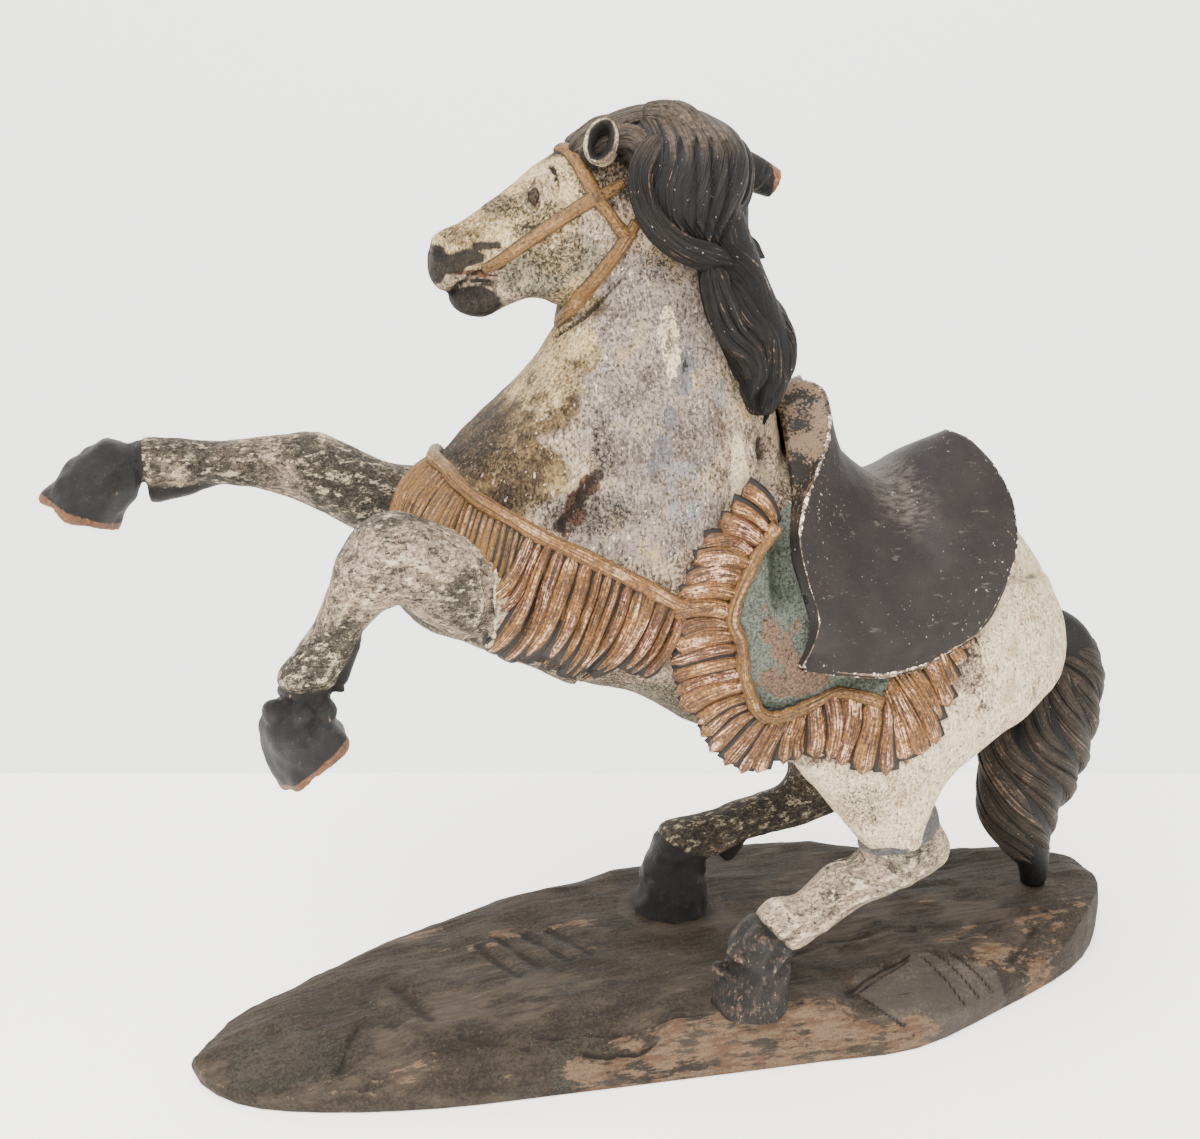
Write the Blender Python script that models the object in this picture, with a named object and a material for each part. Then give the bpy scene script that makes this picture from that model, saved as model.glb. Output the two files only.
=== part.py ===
"""Rearing folk art horse, carved in wood and painted, on a carved ground plinth."""
import math

import bmesh
import bpy
from mathutils import Vector, noise
from mathutils.bvhtree import BVHTree

# The horse's own height, from the sole of a hind hoof to the top of the mane.
FIGURE_HEIGHT = 0.378
# The horse is drawn on a carver's grid: soles on row 28, top of the mane on row 406.
SOLE_ROW = 28
TOP_ROW = 406
# The plinth.
BASE_LENGTH = 0.447
BASE_WIDTH = 0.158
PAD_HEIGHT = 0.028
TIP_THICKNESS = 0.012
HEEL_THICKNESS = 0.027
HOOF_SEAT_RADIUS = 0.023
TAIL_SEAT_RADIUS = 0.012
SEAT_SPREAD = 0.034
SEAT_CORE = 0.012
SEAT_DEPTH = 0.001
EDGE_SLOPE = 0.010
NEAR_EDGE_SLOPE = 0.030
FACET_HEIGHT = 0.0018
# Shares of the plinth's length: where its top stops climbing, where the heel starts to fall,
# and where the steep near edge starts to fade.
CLIMB_SHARE = 0.42
HEEL_SHARE = 0.70
FADE_SHARE = 0.86
# How much of the top's height is lost at the far edge and at the near one.
EDGE_DROP = 0.12
NEAR_EDGE_DROP = 0.57
# How sharply the near edge parts from the far one, across the width.
NEAR_TURN = 2.2
# How many facets the carver left along the plinth.
FACETS_ALONG = 15.2
BASE_COLUMNS = 34
BASE_ROWS = 12
TRIM_MARGIN = 0.004
SEAT_SIDES = 24
# The flat that is cut in a seat, as a share of the seat's radius.
SEAT_SHARE = 0.9
# The clearance that parts two pieces which meet.
SEAM = 0.0003
# Thickness of what is laid on the horse.
CORD_WIDTH = 0.0056
STRAP_WIDTH = 0.0062
STRAP_RISE = 0.0015
CLOTH_THICKNESS = 0.0032
SADDLE_WALL = 0.0065
STRAND_PITCH = 0.0062
SKIRT_WALL = 0.0045
# Shares of its pitch that a strand's half breadth and bow take.
STRAND_FULLNESS = 0.56
STRAND_UNEVEN = 0.12
# How finely the carved surface is worked before and after the details go on.
ROUGH_GRAIN = 0.0026
FINE_GRAIN = 0.0016
BODY_FACETS = 5650
TAIL_FACETS = 620
LIMB_FACETS = 440
# What is left on below a sole, to be cut off flat.
FOOT_SPARE = 4
# How far from its start a carved line is looked for.
CUT_REACH = 50
# How far out from the horse's middle the saddle cloth starts.
CLOTH_START = 20
# What a stump inside the body is slimmer by than the limb that joins it.
STUMP_EASE = 1.5
STUMP_ROWS = 5
TAIL_STRAND_BREADTH = 0.016
TAIL_STRAND_RISE = 0.009

SQUARE = FIGURE_HEIGHT / (TOP_ROW - SOLE_ROW)
NEAR = -1
FAR = 1


def spot(x, y, z):
    """A place on the carver's grid, in metres, above the hoof seats of the plinth."""
    return Vector((x * SQUARE, y * SQUARE, PAD_HEIGHT + SEAM + (z - SOLE_ROW) * SQUARE))


def flow(rows, steps):
    """Rows of numbers drawn out into a smooth run, with `steps` to each gap."""
    last = len(rows) - 1
    run = []
    for index in range(last):
        before = rows[max(index - 1, 0)]
        here = rows[index]
        there = rows[index + 1]
        after = rows[min(index + 2, last)]
        for step in range(steps):
            t = step / steps
            run.append(tuple(
                0.5 * (2 * b + (c - a) * t + (2 * a - 5 * b + 4 * c - d) * t * t
                       + (3 * b - a - 3 * c + d) * t ** 3)
                for a, b, c, d in zip(before, here, there, after)))
    run.append(tuple(rows[last]))
    return run


def new_object(name, bm):
    """A mesh object made from a finished bmesh."""
    mesh = bpy.data.meshes.new(name)
    bmesh.ops.recalc_face_normals(bm, faces=bm.faces)
    bm.to_mesh(mesh)
    bm.free()
    obj = bpy.data.objects.new(name, mesh)
    bpy.context.scene.collection.objects.link(obj)
    return obj


def skin(bm, rings):
    """A closed form over rings of points that all have the same count."""
    loops = [[bm.verts.new(point) for point in ring] for ring in rings]
    count = len(loops[0])
    for first, second in zip(loops, loops[1:]):
        for index in range(count):
            after = (index + 1) % count
            bm.faces.new((first[index], first[after], second[after], second[index]))
    bm.faces.new(loops[0][::-1])
    bm.faces.new(loops[-1])


def oval(centre, deep, wide, sides, pear=0.0):
    """Points of an oval section; pear above 0 makes it fuller at its lower end."""
    ring = []
    for number in range(sides):
        turn = 2 * math.pi * number / sides
        fullness = 1 - pear * math.cos(turn)
        ring.append(centre + deep * math.cos(turn) + wide * math.sin(turn) * fullness)
    return ring


def slab_rings(rows, sides, steps):
    """Sections given by upper x, z, lower x, z, half width, fullness and a shift in y if any."""
    rings = []
    for x_up, z_up, x_low, z_low, half, pear, *shift in flow(rows, steps):
        aside = shift[0] if shift else 0.0
        top = spot(x_up, aside, z_up)
        low = spot(x_low, aside, z_low)
        wide = Vector((0, half * SQUARE, 0))
        rings.append(oval((top + low) / 2, (top - low) / 2, wide, sides, pear))
    return rings


def limb_rings(rows, sides, steps):
    """Sections of a limb: x, y, z, lean of the section in degrees, half depth and half width."""
    rings = []
    for x, y, z, lean, depth, half in flow(rows, steps):
        angle = math.radians(lean)
        along = Vector((math.cos(angle), 0, math.sin(angle)))
        wide = Vector((0, half * SQUARE, 0))
        rings.append(oval(spot(x, y, z), along * depth * SQUARE, wide, sides))
    return rings


TRUNK = [
    (-124, 246, -128, 226, 14, 0.0), (-119, 258, -126, 212, 32, 0.0), (-106, 269, -116, 201, 43, 0.0),
    (-84, 276, -92, 190, 49, 0.0), (-50, 281, -62, 176, 53, 0.05), (-12, 279, -32, 165, 54, 0.08),
    (24, 271, -4, 148, 51, 0.08), (54, 256, 22, 134, 50, 0.0), (84, 247, 50, 126, 50, 0.0),
    (110, 247, 84, 124, 49, 0.0), (132, 237, 114, 130, 47, 0.0), (150, 219, 138, 136, 42, 0.0),
    (163, 199, 156, 143, 32, 0.0), (171, 180, 167, 158, 14, 0.0),
]
NECK = [
    (-24, 394, -50, 346, 16, 0.0), (0, 384, -58, 321, 21, 0.0), (10, 366, -69, 302, 26, 0.05),
    (14, 342, -86, 285, 33, 0.1), (22, 314, -106, 269, 41, 0.1), (32, 286, -117, 249, 48, 0.08),
    (36, 258, -118, 228, 51, 0.0), (32, 232, -108, 206, 46, 0.0),
]
HEAD = [
    (-108, 352, -109, 341, 8, 0.0), (-106, 357, -104, 336, 11, 0.0), (-97, 361, -92, 337, 13, 0.0),
    (-86, 368, -80, 336, 15, -0.1), (-74, 376, -68, 334, 18, -0.1), (-63, 384, -60, 329, 21, 0.0),
    (-52, 390, -48, 330, 22, 0.0), (-38, 395, -36, 338, 21, 0.0), (-22, 393, -20, 350, 16, 0.0),
]
LOWER_JAW = [
    (-101, 335, -100, 329, 6, 0.0), (-97, 337, -94, 326, 9, 0.0), (-90, 340, -87, 325, 10, 0.0),
    (-82, 343, -79, 329, 10, 0.0), (-73, 346, -71, 332, 12, 0.0), (-64, 350, -64, 331, 15, 0.0),
]
# Thigh sections run from the hip down to the joint at the hock.
THIGH = [
    (80, 215, 153, 207, 22, 0.0), (52, 188, 160, 186, 27, 0.0), (30, 164, 157, 166, 29, 0.0),
    (28, 146, 143, 154, 27, 0.0), (38, 130, 124, 145, 23, 0.0), (50, 115, 106, 134, 18, 0.0),
    (62, 100, 94, 119, 16, 0.0), (71, 92, 93, 106, 15, 0.0),
]
THIGH_OFFSETS = [24, 30, 35, 39, 42, 44, 46, 46]
# The near foreleg, from its seam at the elbow to the toe.
NEAR_FORELEG = [
    (-96, -38, 222, -94, 21, 17), (-115, -39, 233, -97, 20, 17), (-131, -40, 242, -90, 18, 16),
    (-140, -40, 240, -74, 17, 15), (-147, -40, 232, -58, 13, 12), (-155, -40, 217, -32, 9, 9),
    (-162, -40, 206, -24, 10, 9), (-168, -40, 197, -12, 11, 10), (-168, -40, 190, -4, 8, 9),
    (-170, -40, 186, -8, 12, 11), (-171, -40, 179, -3, 16, 14), (-169, -40, 172, 10, 16, 15),
    (-166, -40, 163, 37, 16, 15),
]
# The far foreleg, stretched forward.
FAR_FORELEG = [
    (-110, 38, 240, -100, 17, 17), (-124, 38, 243, -101, 17, 16), (-143, 38, 253, -92, 17, 15),
    (-155, 38, 260, -99, 15, 13), (-172, 38, 263, -105, 11, 10), (-195, 38, 265, -90, 9, 9),
    (-210, 38, 266, -88, 10, 10), (-219, 38, 267, -82, 10, 10), (-223, 38, 267, -72, 8, 9),
    (-228, 38, 266, -63, 12, 12), (-234, 38, 261, -58, 14, 14), (-240, 38, 255, -44, 15, 15),
    (-246, 38, 247, -26, 16, 15),
]
# A hind shank, from its joint at the hock to the sole.
NEAR_SHANK = [
    (78, -46, 109, 33, 18, 16), (80, -46, 101, 14, 19, 16), (83, -46, 92, -8, 20, 15),
    (74, -46, 85, -24, 15, 13), (58, -46, 80, -48, 12, 11), (41, -45, 69, -58, 10, 10),
    (30, -45, 65, -62, 13, 11), (23, -45, 60, -48, 12, 11), (19, -45, 56, -17, 13, 12),
    (17, -45, 47, -12, 14, 14), (15, -45, 39, -6, 15, 15), (14, -45, 33, 0, 16, 16),
    (14, -45, 28, 0, 16, 17),
]
FAR_SHANK = [
    (80, 46, 108, 31, 17, 15), (84, 46, 100, 11, 18, 15), (86, 46, 89, -10, 19, 14),
    (81, 46, 79, -30, 17, 13), (69, 46, 73, -50, 12, 11), (50, 46, 69, -62, 11, 10),
    (35, 45, 66, -70, 10, 10), (22, 45, 63, -72, 12, 11), (13, 45, 60, -44, 14, 12),
    (9, 45, 52, -18, 14, 13), (8, 45, 43, -8, 15, 15), (8, 45, 35, -2, 16, 16),
    (8, 45, 28, 0, 17, 17),
]
# The fin of tendon and horn behind each fetlock, as a limb's rows.
NEAR_FORE_SPUR = [(-148, -40, 216, -20, 3, 3), (-155, -40, 201, -20, 5, 4), (-156, -40, 192, -20, 3, 3)]
FAR_FORE_SPUR = [(-190, 38, 258, -90, 3, 3), (-206, 38, 255, -90, 4, 4), (-218, 38, 254, -90, 5, 4)]
NEAR_HIND_SPUR = [(44, -45, 62, -60, 3, 3), (36, -45, 55, -60, 4, 4), (31, -45, 50, -60, 3, 3)]
FAR_HIND_SPUR = [(46, 45, 62, -80, 4, 3), (39, 45, 56, -70, 6, 4), (33, 45, 50, -60, 4, 3)]
TAIL = [
    (158, 5, 172, 84, 8, 7), (174, 6, 170, 66, 9, 8), (187, 8, 161, 36, 11, 9),
    (192, 9, 148, 12, 14, 12), (188, 10, 130, 2, 20, 15), (180, 11, 111, 0, 26, 17),
    (178, 12, 92, 0, 24, 17), (175, 14, 73, 0, 20, 15), (179, 15, 55, 2, 14, 11),
    (186, 16, 40, 0, 8, 8), (188, 17, 28, 0, 6, 6),
]
TAIL_STRANDS = 7
TAIL_TWIST = 1.15
# The saddle: front lip, front rim, swell, seat, rise and rear rim, from the ridge down to the flap.
SADDLE_LIP = [
    (31, 0, 289), (32, -9, 285), (32, -17, 275), (31, -25, 264), (29, -35, 253), (26, -43, 244),
    (23, -50, 234), (25, -56, 222), (29, -58, 208), (28, -58, 198), (24, -59, 190),
]
SADDLE_FRONT = [
    (45, 0, 294), (51, -11, 291), (51, -21, 282), (46, -30, 272), (37, -40, 262), (29, -48, 252),
    (25, -55, 240), (27, -60, 225), (31, -63, 210), (29, -63, 199), (24, -63, 190),
]
SADDLE_SWELL = [
    (60, 0, 266), (61, -13, 264), (60, -24, 257), (57, -34, 248), (53, -43, 238), (50, -50, 228),
    (48, -56, 218), (46, -60, 208), (45, -62, 199), (44, -63, 192), (43, -64, 186),
]
SADDLE_SEAT = [
    (82, 0, 251), (82, -15, 249), (81, -27, 244), (80, -36, 237), (78, -44, 229), (76, -51, 220),
    (74, -56, 211), (72, -60, 202), (70, -62, 195), (67, -63, 189), (64, -64, 184),
]
SADDLE_RISE = [
    (99, 0, 260), (101, -16, 256), (102, -28, 249), (102, -37, 241), (101, -45, 232), (100, -51, 223),
    (98, -55, 214), (96, -58, 206), (93, -60, 199), (89, -61, 193), (84, -62, 187),
]
SADDLE_REAR = [
    (115, 0, 267), (122, -11, 263), (127, -22, 255), (130, -32, 245), (129, -40, 235), (126, -46, 225),
    (121, -51, 216), (116, -54, 209), (111, -57, 203), (107, -58, 199), (103, -59, 195),
]
SADDLE_CORE = (78, 0, 226)
CLOTH_EDGE = [
    (14, 244), (5, 229), (-3, 212), (1, 202), (4, 187), (9, 172), (16, 165), (32, 167), (48, 172),
    (62, 169), (70, 181), (86, 190), (104, 200), (112, 216), (96, 236), (60, 244), (30, 250),
]
# The skirt of the cloth: x, z on its cord and x, z at the end of the fringe.
CLOTH_SKIRT = [
    (17, 246, 2, 262), (5, 229, -19, 231), (-3, 212, -28, 215), (1, 202, -27, 199),
    (4, 187, -22, 180), (8, 175, -17, 165), (12, 167, -9, 152), (18, 164, 2, 142),
    (25, 165, 14, 139), (32, 167, 28, 141), (48, 172, 43, 146), (62, 169, 60, 138),
    (66, 179, 78, 146), (75, 186, 87, 161), (87, 191, 94, 177), (98, 197, 101, 190),
]
CLOTH_CORD_END = 12
SKIRT_REACH = 47
COLLAR_CORD = [
    (-114, 0, 280), (-113, -12, 278), (-109, -25, 275), (-104, -38, 269), (-93, -45, 260),
    (-81, -49, 251), (-70, -51, 245), (-54, -53, 236), (-40, -54, 228), (-27, -55, 220),
    (-20, -55, 217),
]
# Where the collar's strands end, from the breastbone round to the girth.
COLLAR_HEM = [
    (-131, 0, 236), (-129, -14, 232), (-125, -26, 226), (-118, -38, 214), (-108, -44, 208),
    (-97, -44, 200), (-82, -46, 192), (-66, -48, 186), (-52, -49, 182), (-42, -50, 181),
    (-32, -50, 180),
]
# Locks of the mane: x, y, z, half breadth and half thickness, from root to tip.
NEAR_LOCKS = [
    [(-55, -8, 387, 6, 4), (-40, -8, 395, 7, 5), (-24, -6, 399, 8, 5), (-6, -6, 397, 8, 5),
     (6, -8, 390, 7, 5)],
    [(-52, -18, 384, 5, 4), (-44, -19, 391, 5, 4), (-34, -21, 391, 6, 5), (-27, -27, 378, 6, 5)],
    [(-27, -12, 400, 5, 4), (-18, -16, 401, 6, 4), (-11, -22, 396, 6, 4), (-11, -28, 382, 5, 4)],
    [(-24, -24, 394, 5, 4), (-33, -29, 382, 5, 4), (-33, -31, 371, 5, 4), (-28, -33, 361, 6, 4),
     (-18, -34, 353, 6, 4), (-4, -34, 348, 6, 4), (6, -32, 345, 4, 3)],
    [(-20, -28, 392, 6, 4), (-22, -32, 378, 6, 4), (-16, -33, 366, 5, 4), (-8, -32, 360, 4, 3)],
    [(-6, -24, 392, 7, 5), (-6, -30, 380, 7, 5), (-6, -32, 369, 6, 4), (-2, -30, 358, 5, 4)],
    [(0, -14, 394, 6, 5), (9, -17, 384, 6, 5), (9, -19, 372, 6, 5), (4, -21, 364, 6, 5),
     (7, -22, 354, 6, 5), (15, -20, 349, 5, 4), (21, -18, 346, 3, 3)],
    [(0, -27, 357, 6, 5), (6, -27, 343, 7, 5), (15, -25, 331, 7, 5), (25, -23, 320, 7, 5),
     (28, -24, 309, 7, 5), (24, -27, 296, 6, 4), (18, -30, 282, 3, 3)],
    [(-7, -34, 347, 6, 4), (-4, -36, 334, 7, 4), (1, -36, 321, 7, 4), (9, -35, 312, 6, 4),
     (12, -35, 303, 6, 4), (9, -37, 293, 4, 3)],
    [(0, -33, 340, 6, 5), (8, -32, 326, 7, 5), (17, -30, 315, 7, 5), (19, -31, 302, 6, 5),
     (15, -34, 288, 4, 4)],
]
FAR_LOCKS = [
    [(-52, 8, 386, 6, 4), (-38, 11, 393, 7, 5), (-22, 14, 393, 7, 5), (-6, 17, 387, 6, 4)],
    [(-16, 17, 390, 7, 5), (-10, 24, 377, 7, 5), (-6, 27, 361, 7, 5), (2, 29, 344, 6, 4)],
    [(0, 14, 387, 7, 5), (8, 19, 372, 7, 5), (8, 22, 355, 7, 5), (13, 22, 338, 6, 4)],
    [(5, 26, 352, 7, 5), (11, 27, 334, 7, 5), (19, 24, 318, 7, 5), (22, 23, 302, 6, 4),
     (19, 26, 288, 3, 3)],
]
MANE_RIDGE = [
    (-36, 2, 385, 90, 10, 14), (-16, 2, 387, 80, 12, 17), (-2, 0, 381, 45, 14, 17),
    (4, -2, 369, 15, 14, 17), (6, -3, 354, 0, 13, 16), (11, -4, 336, 20, 13, 14),
    (17, -4, 318, 10, 13, 12), (21, -5, 300, -10, 11, 10), (23, -6, 286, -20, 6, 7),
]
MANE_STUB = [(6, 6, 378, 80, 8, 7), (20, 6, 378, 80, 8, 7), (34, 6, 372, 65, 6, 6)]
# Straps of the bridle on the near cheek.
STRAPS = [
    [(-58, -4, 391), (-56, -14, 387), (-52, -21, 379), (-47, -24, 370)],
    [(-43, -24, 370), (-60, -23, 360), (-76, -18, 353), (-90, -15, 346)],
    [(-47, -24, 371), (-39, -25, 361), (-35, -26, 352), (-42, -26, 343), (-52, -24, 334),
     (-62, -14, 322), (-64, -2, 319)],
]
EAR = [(-45, -18, 382, 0, 5, 4), (-45, -22, 389, 0, 6, 5), (-43, -25, 396, 0, 5, 4),
       (-41, -27, 402, 0, 2, 2)]
# Lines cut into the head: a run of x, y, z, then half breadth and depth of the cut.
MOUTH = ([(-108, -8, 340), (-101, -12, 341), (-92, -14, 345), (-84, -16, 348)], 2.4, 1.8)
NOSTRIL = ([(-105, -8, 352), (-102, -10, 350)], 3.0, 2.2)
WITHER_GROOVE = ([(27, -34, 272), (26, -45, 257), (24, -51, 238), (24, -53, 220)], 13.0, 12.0)
EYE_RING = ([(-80, -17, 372), (-74, -19, 377), (-67, -20, 374), (-73, -19, 368), (-80, -17, 372)],
            2.0, 1.2)
JAW_LINE = ([(-72, -19, 345), (-62, -22, 340), (-52, -24, 344)], 6.0, 1.6)
# The plinth's outline as shares of its length and width, from its tip round the near side.
PLINTH_OUTLINE = [
    (-0.500, -0.06), (-0.464, -0.23), (-0.390, -0.33), (-0.281, -0.40), (-0.167, -0.43),
    (-0.028, -0.46), (0.093, -0.485), (0.194, -0.50), (0.308, -0.39), (0.420, -0.25),
    (0.483, -0.09), (0.500, 0.04), (0.495, 0.16), (0.450, 0.23), (0.364, 0.30), (0.236, 0.43),
    (0.160, 0.50), (0.006, 0.455), (-0.165, 0.37), (-0.279, 0.275), (-0.388, 0.155),
    (-0.464, 0.07),
]
# The plinth's middle from the horse's middle, as shares of its length and width.
PLINTH_SHIFT = (0.0056, 0.128)


def mirrored(rows):
    """Rows with their second number, y, put on the other side."""
    return [(row[0], -row[1], *row[2:]) for row in rows]


def surface_of(obj):
    """The finished surface of an object as a new mesh."""
    graph = bpy.context.evaluated_depsgraph_get()
    return bpy.data.meshes.new_from_object(obj.evaluated_get(graph))


def search_tree(mesh):
    """A tree that finds places on a mesh."""
    corners = [vertex.co.copy() for vertex in mesh.vertices]
    return BVHTree.FromPolygons(corners, [list(face.vertices) for face in mesh.polygons])


def whole_shell(mesh):
    """Keep the largest connected shell of a mesh and drop what is closed off inside it."""
    bm = bmesh.new()
    bm.from_mesh(mesh)
    left = set(bm.verts)
    shells = []
    while left:
        shell = {left.pop()}
        front = list(shell)
        while front:
            for edge in front.pop().link_edges:
                for vertex in edge.verts:
                    if vertex in left:
                        left.discard(vertex)
                        shell.add(vertex)
                        front.append(vertex)
        shells.append(shell)
    shells.sort(key=len)
    spare = [vertex for shell in shells[:-1] for vertex in shell]
    bmesh.ops.delete(bm, geom=spare, context="VERTS")
    bm.to_mesh(mesh)
    bm.free()


def melt(name, bm, grain, ease):
    """Overlapping closed forms melted into one skin, which is then eased smooth."""
    obj = new_object(name, bm)
    remesh = obj.modifiers.new("melt", "REMESH")
    remesh.mode = "VOXEL"
    remesh.voxel_size = grain
    if ease:
        smooth = obj.modifiers.new("ease", "SMOOTH")
        smooth.factor = 0.5
        smooth.iterations = ease
    mesh = surface_of(obj)
    bpy.data.objects.remove(obj)
    whole_shell(mesh)
    return mesh


def laid(tree, rows, lift, steps):
    """A run of places and normals that lies on a surface, raised by lift."""
    run = []
    for row in flow(rows, steps):
        place, normal, _, _ = tree.find_nearest(spot(*row[:3]))
        run.append((place + normal * lift, normal))
    return run


def strand(bm, run, breadths, depths, sides):
    """A lock, cord or strap: an oval swept along a run of places and normals."""
    rings = []
    last = len(run) - 1
    for index, (place, normal) in enumerate(run):
        ahead = run[min(index + 1, last)][0] - run[max(index - 1, 0)][0]
        across = ahead.cross(normal).normalized()
        up = across.cross(ahead).normalized()
        rings.append(oval(place, up * depths[index], across * breadths[index], sides))
    skin(bm, rings)


def evenly(rows, pitch):
    """Rows picked from a smooth run so that they stand a pitch apart along it."""
    fine = flow(rows, 24)
    picked = [fine[0]]
    travelled = 0.0
    for before, here in zip(fine, fine[1:]):
        travelled += (spot(*here[:3]) - spot(*before[:3])).length
        if travelled >= pitch:
            picked.append(here)
            travelled = 0.0
    return picked


def flank(tree, x, z, side):
    """The place and normal on the horse's flank at grid x, z, held out where a skirt hangs."""
    start = spot(x, side * 120, z)
    place, normal, _, _ = tree.ray_cast(start, Vector((0, -side, 0)))
    outward = Vector((0, side, 0))
    if place is None or abs(place.y) < SKIRT_REACH * SQUARE:
        return Vector((start.x, side * SKIRT_REACH * SQUARE, start.z)), outward
    return place, (normal + outward).normalized()


def add_fringe_strand(bm, run, number, spread):
    """One strand of a fringe, full in its middle and thin at its tip."""
    half = spread * STRAND_FULLNESS
    last = len(run) - 1
    uneven = STRAND_UNEVEN * math.sin(number * 2.4)
    breadths = [half * (0.75 + uneven + 0.45 * math.sin(math.pi * min(i / last, 0.8)))
                * (1 - 0.55 * (i / last) ** 3) for i in range(last + 1)]
    depths = [half * (0.7 + uneven + 0.3 * math.sin(math.pi * i / last)) for i in range(last + 1)]
    strand(bm, run, breadths, depths, 6)


def add_backing(bm, runs):
    """The sheet of wood that the strands are cut on, from their roots to near their tips."""
    sections = []
    for run in runs:
        kept = run[:-1]
        outer = [place for place, _ in kept]
        inner = [place - normal * SKIRT_WALL for place, normal in reversed(kept)]
        sections.append(outer + inner)
    skin(bm, sections)


def add_fringe(bm, runs):
    """A row of strands over their backing."""
    add_backing(bm, runs)
    for number, run in enumerate(runs):
        near_by = runs[number + 1] if number + 1 < len(runs) else runs[number - 1]
        spread = (run[3][0] - near_by[3][0]).length
        add_fringe_strand(bm, run, number, min(spread, STRAND_PITCH * 1.5))


def add_cloth_fringe(bm, tree, side):
    """The skirt of strands that hangs from the saddle cloth's cord."""
    rows = [((x + x_end) / 2, side * SKIRT_REACH, (z + z_end) / 2, x, z, x_end, z_end)
            for x, z, x_end, z_end in CLOTH_SKIRT]
    runs = []
    for number, (_, _, _, x, z, x_end, z_end) in enumerate(evenly(rows, STRAND_PITCH)):
        run = []
        for step in range(6):
            t = step / 5
            bow = 3.0 * math.sin(math.pi * t)
            place, normal = flank(tree, x + (x_end - x) * t, z + (z_end - z) * t + bow, side)
            lift = CLOTH_THICKNESS * (0.3 + 0.4 * math.sin(number * 1.7) ** 2)
            run.append((place + normal * lift, normal))
        runs.append(run)
    add_fringe(bm, runs)


def add_collar_fringe(bm, tree, side):
    """The strands that hang from the breast cord, over the chest and the girth."""
    rows = [(*((a + b) / 2 for a, b in zip(top, hem)), *top, *hem)
            for top, hem in zip(COLLAR_CORD, COLLAR_HEM)]
    runs = []
    for row in evenly(rows, STRAND_PITCH):
        top = Vector(row[3:6])
        hem = Vector(row[6:])
        run = []
        for step in range(7):
            t = step / 6
            guide = top.lerp(hem, t) + Vector((3.5, -4.0, -2.0)) * math.sin(math.pi * t)
            place, normal, _, _ = tree.find_nearest(spot(guide.x, -guide.y * side, guide.z))
            run.append((place + normal * STRAND_PITCH * 0.12, normal))
        runs.append(run)
    add_fringe(bm, runs)


def add_cords(bm, tree, side):
    """The round cords along the edge of the cloth and across the breast."""
    half = CORD_WIDTH / 2
    edge = []
    for x, z, _, _ in CLOTH_SKIRT[:CLOTH_CORD_END]:
        place, normal = flank(tree, x, z, side)
        edge.append((place + normal * CLOTH_THICKNESS, normal))
    strand(bm, edge, [half] * len(edge), [half] * len(edge), 8)
    breast = COLLAR_CORD if side == NEAR else mirrored(COLLAR_CORD)
    run = laid(tree, breast, CORD_WIDTH * 0.3, 2)
    strand(bm, run, [half] * len(run), [half] * len(run), 8)


def inside(outline, x, z):
    """True where a grid place lies inside an outline of x, z rows."""
    hit = False
    for (x_a, z_a), (x_b, z_b) in zip(outline, outline[1:] + outline[:1]):
        if (z_a > z) != (z_b > z) and x < (x_b - x_a) * (z - z_a) / (z_b - z_a) + x_a:
            hit = not hit
    return hit


def add_cloth(bm, mesh, side):
    """The saddle cloth: a thick patch of the flank within the cloth's outline."""
    patch = {}
    ground = PAD_HEIGHT + SEAM

    def corner(index, level):
        if (index, level) not in patch:
            vertex = mesh.vertices[index]
            patch[index, level] = bm.verts.new(vertex.co + vertex.normal * level * CLOTH_THICKNESS)
        return patch[index, level]

    picked = []
    for face in mesh.polygons:
        x = face.center.x / SQUARE
        z = (face.center.z - ground) / SQUARE + SOLE_ROW
        outside = face.center.y * side > CLOTH_START * SQUARE and face.normal.y * side > 0.1
        if outside and inside(CLOTH_EDGE, x, z):
            picked.append(face)
    edges = {}
    for face in picked:
        corners = list(face.vertices)
        bm.faces.new([corner(index, 1) for index in corners])
        bm.faces.new([corner(index, -1) for index in reversed(corners)])
        for first, second in zip(corners, corners[1:] + corners[:1]):
            edges[first, second] = True
    for first, second in edges:
        if (second, first) not in edges:
            bm.faces.new((corner(second, 1), corner(first, 1), corner(first, -1), corner(second, -1)))


def saddle_section(rows, number):
    """One closed section of the saddle, from its lip over the seat and back under the wall."""
    lip, front, swell, seat, rise, rear = (spot(*row[number]) for row in rows)
    core = spot(SADDLE_CORE[0], seat.y / SQUARE * 0.35, SADDLE_CORE[1])
    upper = [tuple(point) for point in (front, swell, seat, rise, rear)]
    ring = [lip] + [Vector(point) for point in flow(upper, 3)]
    under = [rear, rise, seat, swell, lip]
    ring += [point + (core - point).normalized() * SADDLE_WALL for point in under]
    return ring


def add_saddle(bm):
    """The saddle, an arched shell with a flaring lip, a dished seat and a raised rear rim."""
    lines = [SADDLE_LIP, SADDLE_FRONT, SADDLE_SWELL, SADDLE_SEAT, SADDLE_RISE, SADDLE_REAR]
    lines = [flow(mirrored(rows[:0:-1]) + rows, 2) for rows in lines]
    skin(bm, [saddle_section(lines, number) for number in range(len(lines[0]))])


def add_lock(bm, rows):
    """One lock of hair, swept along its rows."""
    drawn = flow(rows, 3)
    middle = spot(-2, 0, 350)
    run = []
    for x, y, z, _, _ in drawn:
        place = spot(x, y, z)
        away = Vector((place.x - middle.x, place.y * 2.0, 0.0)) if abs(y) > 16 else place - middle
        run.append((place, away.normalized()))
    strand(bm, run, [row[3] * SQUARE for row in drawn], [row[4] * SQUARE for row in drawn], 8)


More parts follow.
